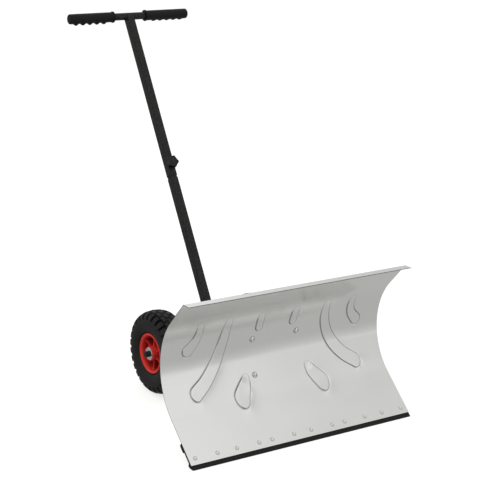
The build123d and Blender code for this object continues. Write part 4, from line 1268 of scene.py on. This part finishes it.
def floor_material():
    """Seen straight: nearly white with a faint shadow. Seen in a reflection: an even grey."""
    sh = new_shader("pale_floor")
    sh.tree.nodes.clear()
    rays = sh.add("LightPath")
    camera_ray = sh.calc("MULTIPLY", rays.outputs["Is Camera Ray"], 1.0)
    glossy_ray = rays.outputs["Is Glossy Ray"]
    color = sh.mix(camera_ray, (0.55, 0.55, 0.54), grey(0.30))
    diffuse = sh.add("BsdfDiffuse", Color=sh.mix(glossy_ray, color, grey(0.0)))

    def by_direction(to, span):
        """Runs over to as the seen direction's x runs over span."""
        return sh.remap(sh.calc("MULTIPLY", sh.incoming("X"), -1.0), to=to, span=span)

    # glow in reflections: darker to the left, falling off to the far right
    glow = sh.calc("MULTIPLY", by_direction(to=(0.30, 0.50), span=(-0.15, 0.30)), glossy_ray)
    glow = sh.calc("MULTIPLY", glow, by_direction(to=(1.0, 0.35), span=(0.76, 0.88)))
    # brighter at grazing angles
    steepness = sh.calc("ABSOLUTE", sh.incoming("Z"))
    grazing = sh.calc("ADD", sh.remap(steepness, to=(1.25, 0.98), span=(0.06, 0.28)),
                      sh.remap(steepness, to=(0.30, 0.0), span=(0.035, 0.06)))
    glow = sh.calc("MULTIPLY", glow, grazing)
    strength = sh.calc("ADD", sh.calc("MULTIPLY", camera_ray, 0.74), glow)
    emission = sh.add("Emission", Strength=strength, Color=(1.0, 1.0, 0.985))
    both = sh.add("AddShader")
    sh.put(both.inputs[0], diffuse.outputs[0])
    sh.put(both.inputs[1], emission.outputs[0])
    sh.add("OutputMaterial", Surface=both.outputs[0])
    return sh.owner


def build_floor():
    mesh = bpy.data.meshes.new("floor_mesh")
    angles = [2 * pi * i / FLOOR_SIDES for i in range(FLOOR_SIDES)]
    verts = [(0, 0, 0)] + [(FLOOR_R * cos(a), FLOOR_R * sin(a), 0) for a in angles]
    faces = [(0, i + 1, (i + 1) % FLOOR_SIDES + 1) for i in range(FLOOR_SIDES)]
    mesh.from_pydata(verts, [], faces)
    floor = bpy.data.objects.new("floor", mesh)
    bpy.context.scene.collection.objects.link(floor)
    floor.location.z = FLOOR_Z
    mesh.materials.append(floor_material())


build_floor()

# ------------------------------------------------------------------ world
# sky seen in reflections, by direction x (-1 to 1 as 0 to 1): dark in the middle, a large
# pale screen to the right, brightest just past 0.73
SKY_STOPS = [
    (0.0, (0.66, 0.66, 0.655)), (0.33, (0.58, 0.58, 0.575)), (0.42, (0.36, 0.36, 0.36)),
    (0.57, (0.34, 0.34, 0.34)), (0.67, (0.64, 0.64, 0.635)), (0.735, (0.94, 0.94, 0.935)),
    (0.752, (0.86, 0.86, 0.855)), (0.77, (0.76, 0.76, 0.755)), (0.80, (0.635, 0.635, 0.63)),
    (0.85, (0.58, 0.58, 0.575)), (1.0, (0.54, 0.54, 0.535)),
]
# light on everything else, by direction z (-1 to 1 as 0 to 1)
DOME_STOPS = [(0.0, grey(0.35)), (0.5, grey(0.62)), (1.0, grey(1.25))]
SKY_LOW = 1.10                       # brightness of the reflected sky at the horizon
LAMP_DIRECTION, LAMP_LIGHT = (0.800, -0.330, 0.500), 0.40  # one bright patch, front right


def build_world():
    world = bpy.data.worlds.new("studio")
    bpy.context.scene.world = world
    sh = Shader(world)
    direction = sh.add("TexCoord").outputs["Generated"]
    parts = sh.add("SeparateXYZ", Vector=direction).outputs
    sky = sh.ramp(sh.remap(parts["X"], to=(0, 1), span=(-1, 1)), SKY_STOPS)
    lamp = sh.remap(sh.vector_calc("DOT_PRODUCT", direction, LAMP_DIRECTION),
                    to=(0, LAMP_LIGHT), span=(0.970, 0.991))
    sky = sh.mix(1.0, sky, sh.add("CombineXYZ", X=lamp, Y=lamp, Z=lamp).outputs[0], "ADD")
    level = sh.remap(parts["Z"], to=(SKY_LOW, 1.0), span=(0, 0.45))
    sky = sh.mix(1.0, sky, sh.mix(level, grey(0.0), grey(1.0)), "MULTIPLY")
    dome = sh.ramp(sh.remap(parts["Z"], to=(0, 1), span=(-1, 1)), DOME_STOPS)
    rays = sh.add("LightPath").outputs
    color = sh.mix(rays["Is Glossy Ray"], dome, sky)
    color = sh.mix(rays["Is Camera Ray"], color, grey(1.0))
    sh.fill(sh.tree.nodes["Background"], {"Color": color, "Strength": 1.0})


build_world()


# ------------------------------------------------------------------ lights and camera
def add_area(name, place, target, size, energy):
    """Rectangular lamp that is not seen in reflections."""
    data = bpy.data.lights.new(name, "AREA")
    data.shape = "RECTANGLE"
    data.size, data.size_y = size
    data.energy = energy
    lamp = bpy.data.objects.new(name, data)
    bpy.context.scene.collection.objects.link(lamp)
    lamp.location = place
    lamp.rotation_mode = "QUATERNION"
    lamp.rotation_quaternion = (Vector(target) - Vector(place)).to_track_quat("-Z", "Y")
    lamp.visible_glossy = False


add_area("key", place=(-3.2, -1.6, 3.6), target=(0, -0.1, 0.3), size=(2.2, 2.2), energy=60)
add_area("fill", place=(3.0, -3.4, 2.6), target=(0, -0.1, 0.4), size=(2.5, 2.5), energy=22)
add_area("rim_light", place=(0.5, 4.0, 3.0), target=(0, 0, 0.5), size=(2.5, 2.0), energy=30)

CAMERA_YAW, CAMERA_PITCH, CAMERA_ROLL = radians(34.36), radians(16.29), radians(2.09)
CAMERA_PLACE = (-2.2638, -3.4621 + middle("left_tyre").y, 1.6568)


def build_camera():
    data = bpy.data.cameras.new("camera")
    camera = bpy.data.objects.new("camera", data)
    bpy.context.scene.collection.objects.link(camera)
    forward = Vector((sin(CAMERA_YAW) * cos(CAMERA_PITCH), cos(CAMERA_YAW) * cos(CAMERA_PITCH),
                      -sin(CAMERA_PITCH)))
    level = Vector((cos(CAMERA_YAW), -sin(CAMERA_YAW), 0))
    upright = level.cross(forward)
    right = level * cos(CAMERA_ROLL) + upright * sin(CAMERA_ROLL)
    up = -level * sin(CAMERA_ROLL) + upright * cos(CAMERA_ROLL)
    rows = [(right[k], up[k], -forward[k], CAMERA_PLACE[k]) for k in range(3)]
    camera.matrix_world = Matrix((*rows, (0, 0, 0, 1)))
    data.sensor_width = 36.0
    data.lens = 109.815
    data.clip_start, data.clip_end = 0.05, 200
    bpy.context.scene.camera = camera


build_camera()
view = bpy.context.scene.view_settings
view.view_transform = "Standard"
view.look = "None"
view.exposure = 0.0
view.gamma = 1.0
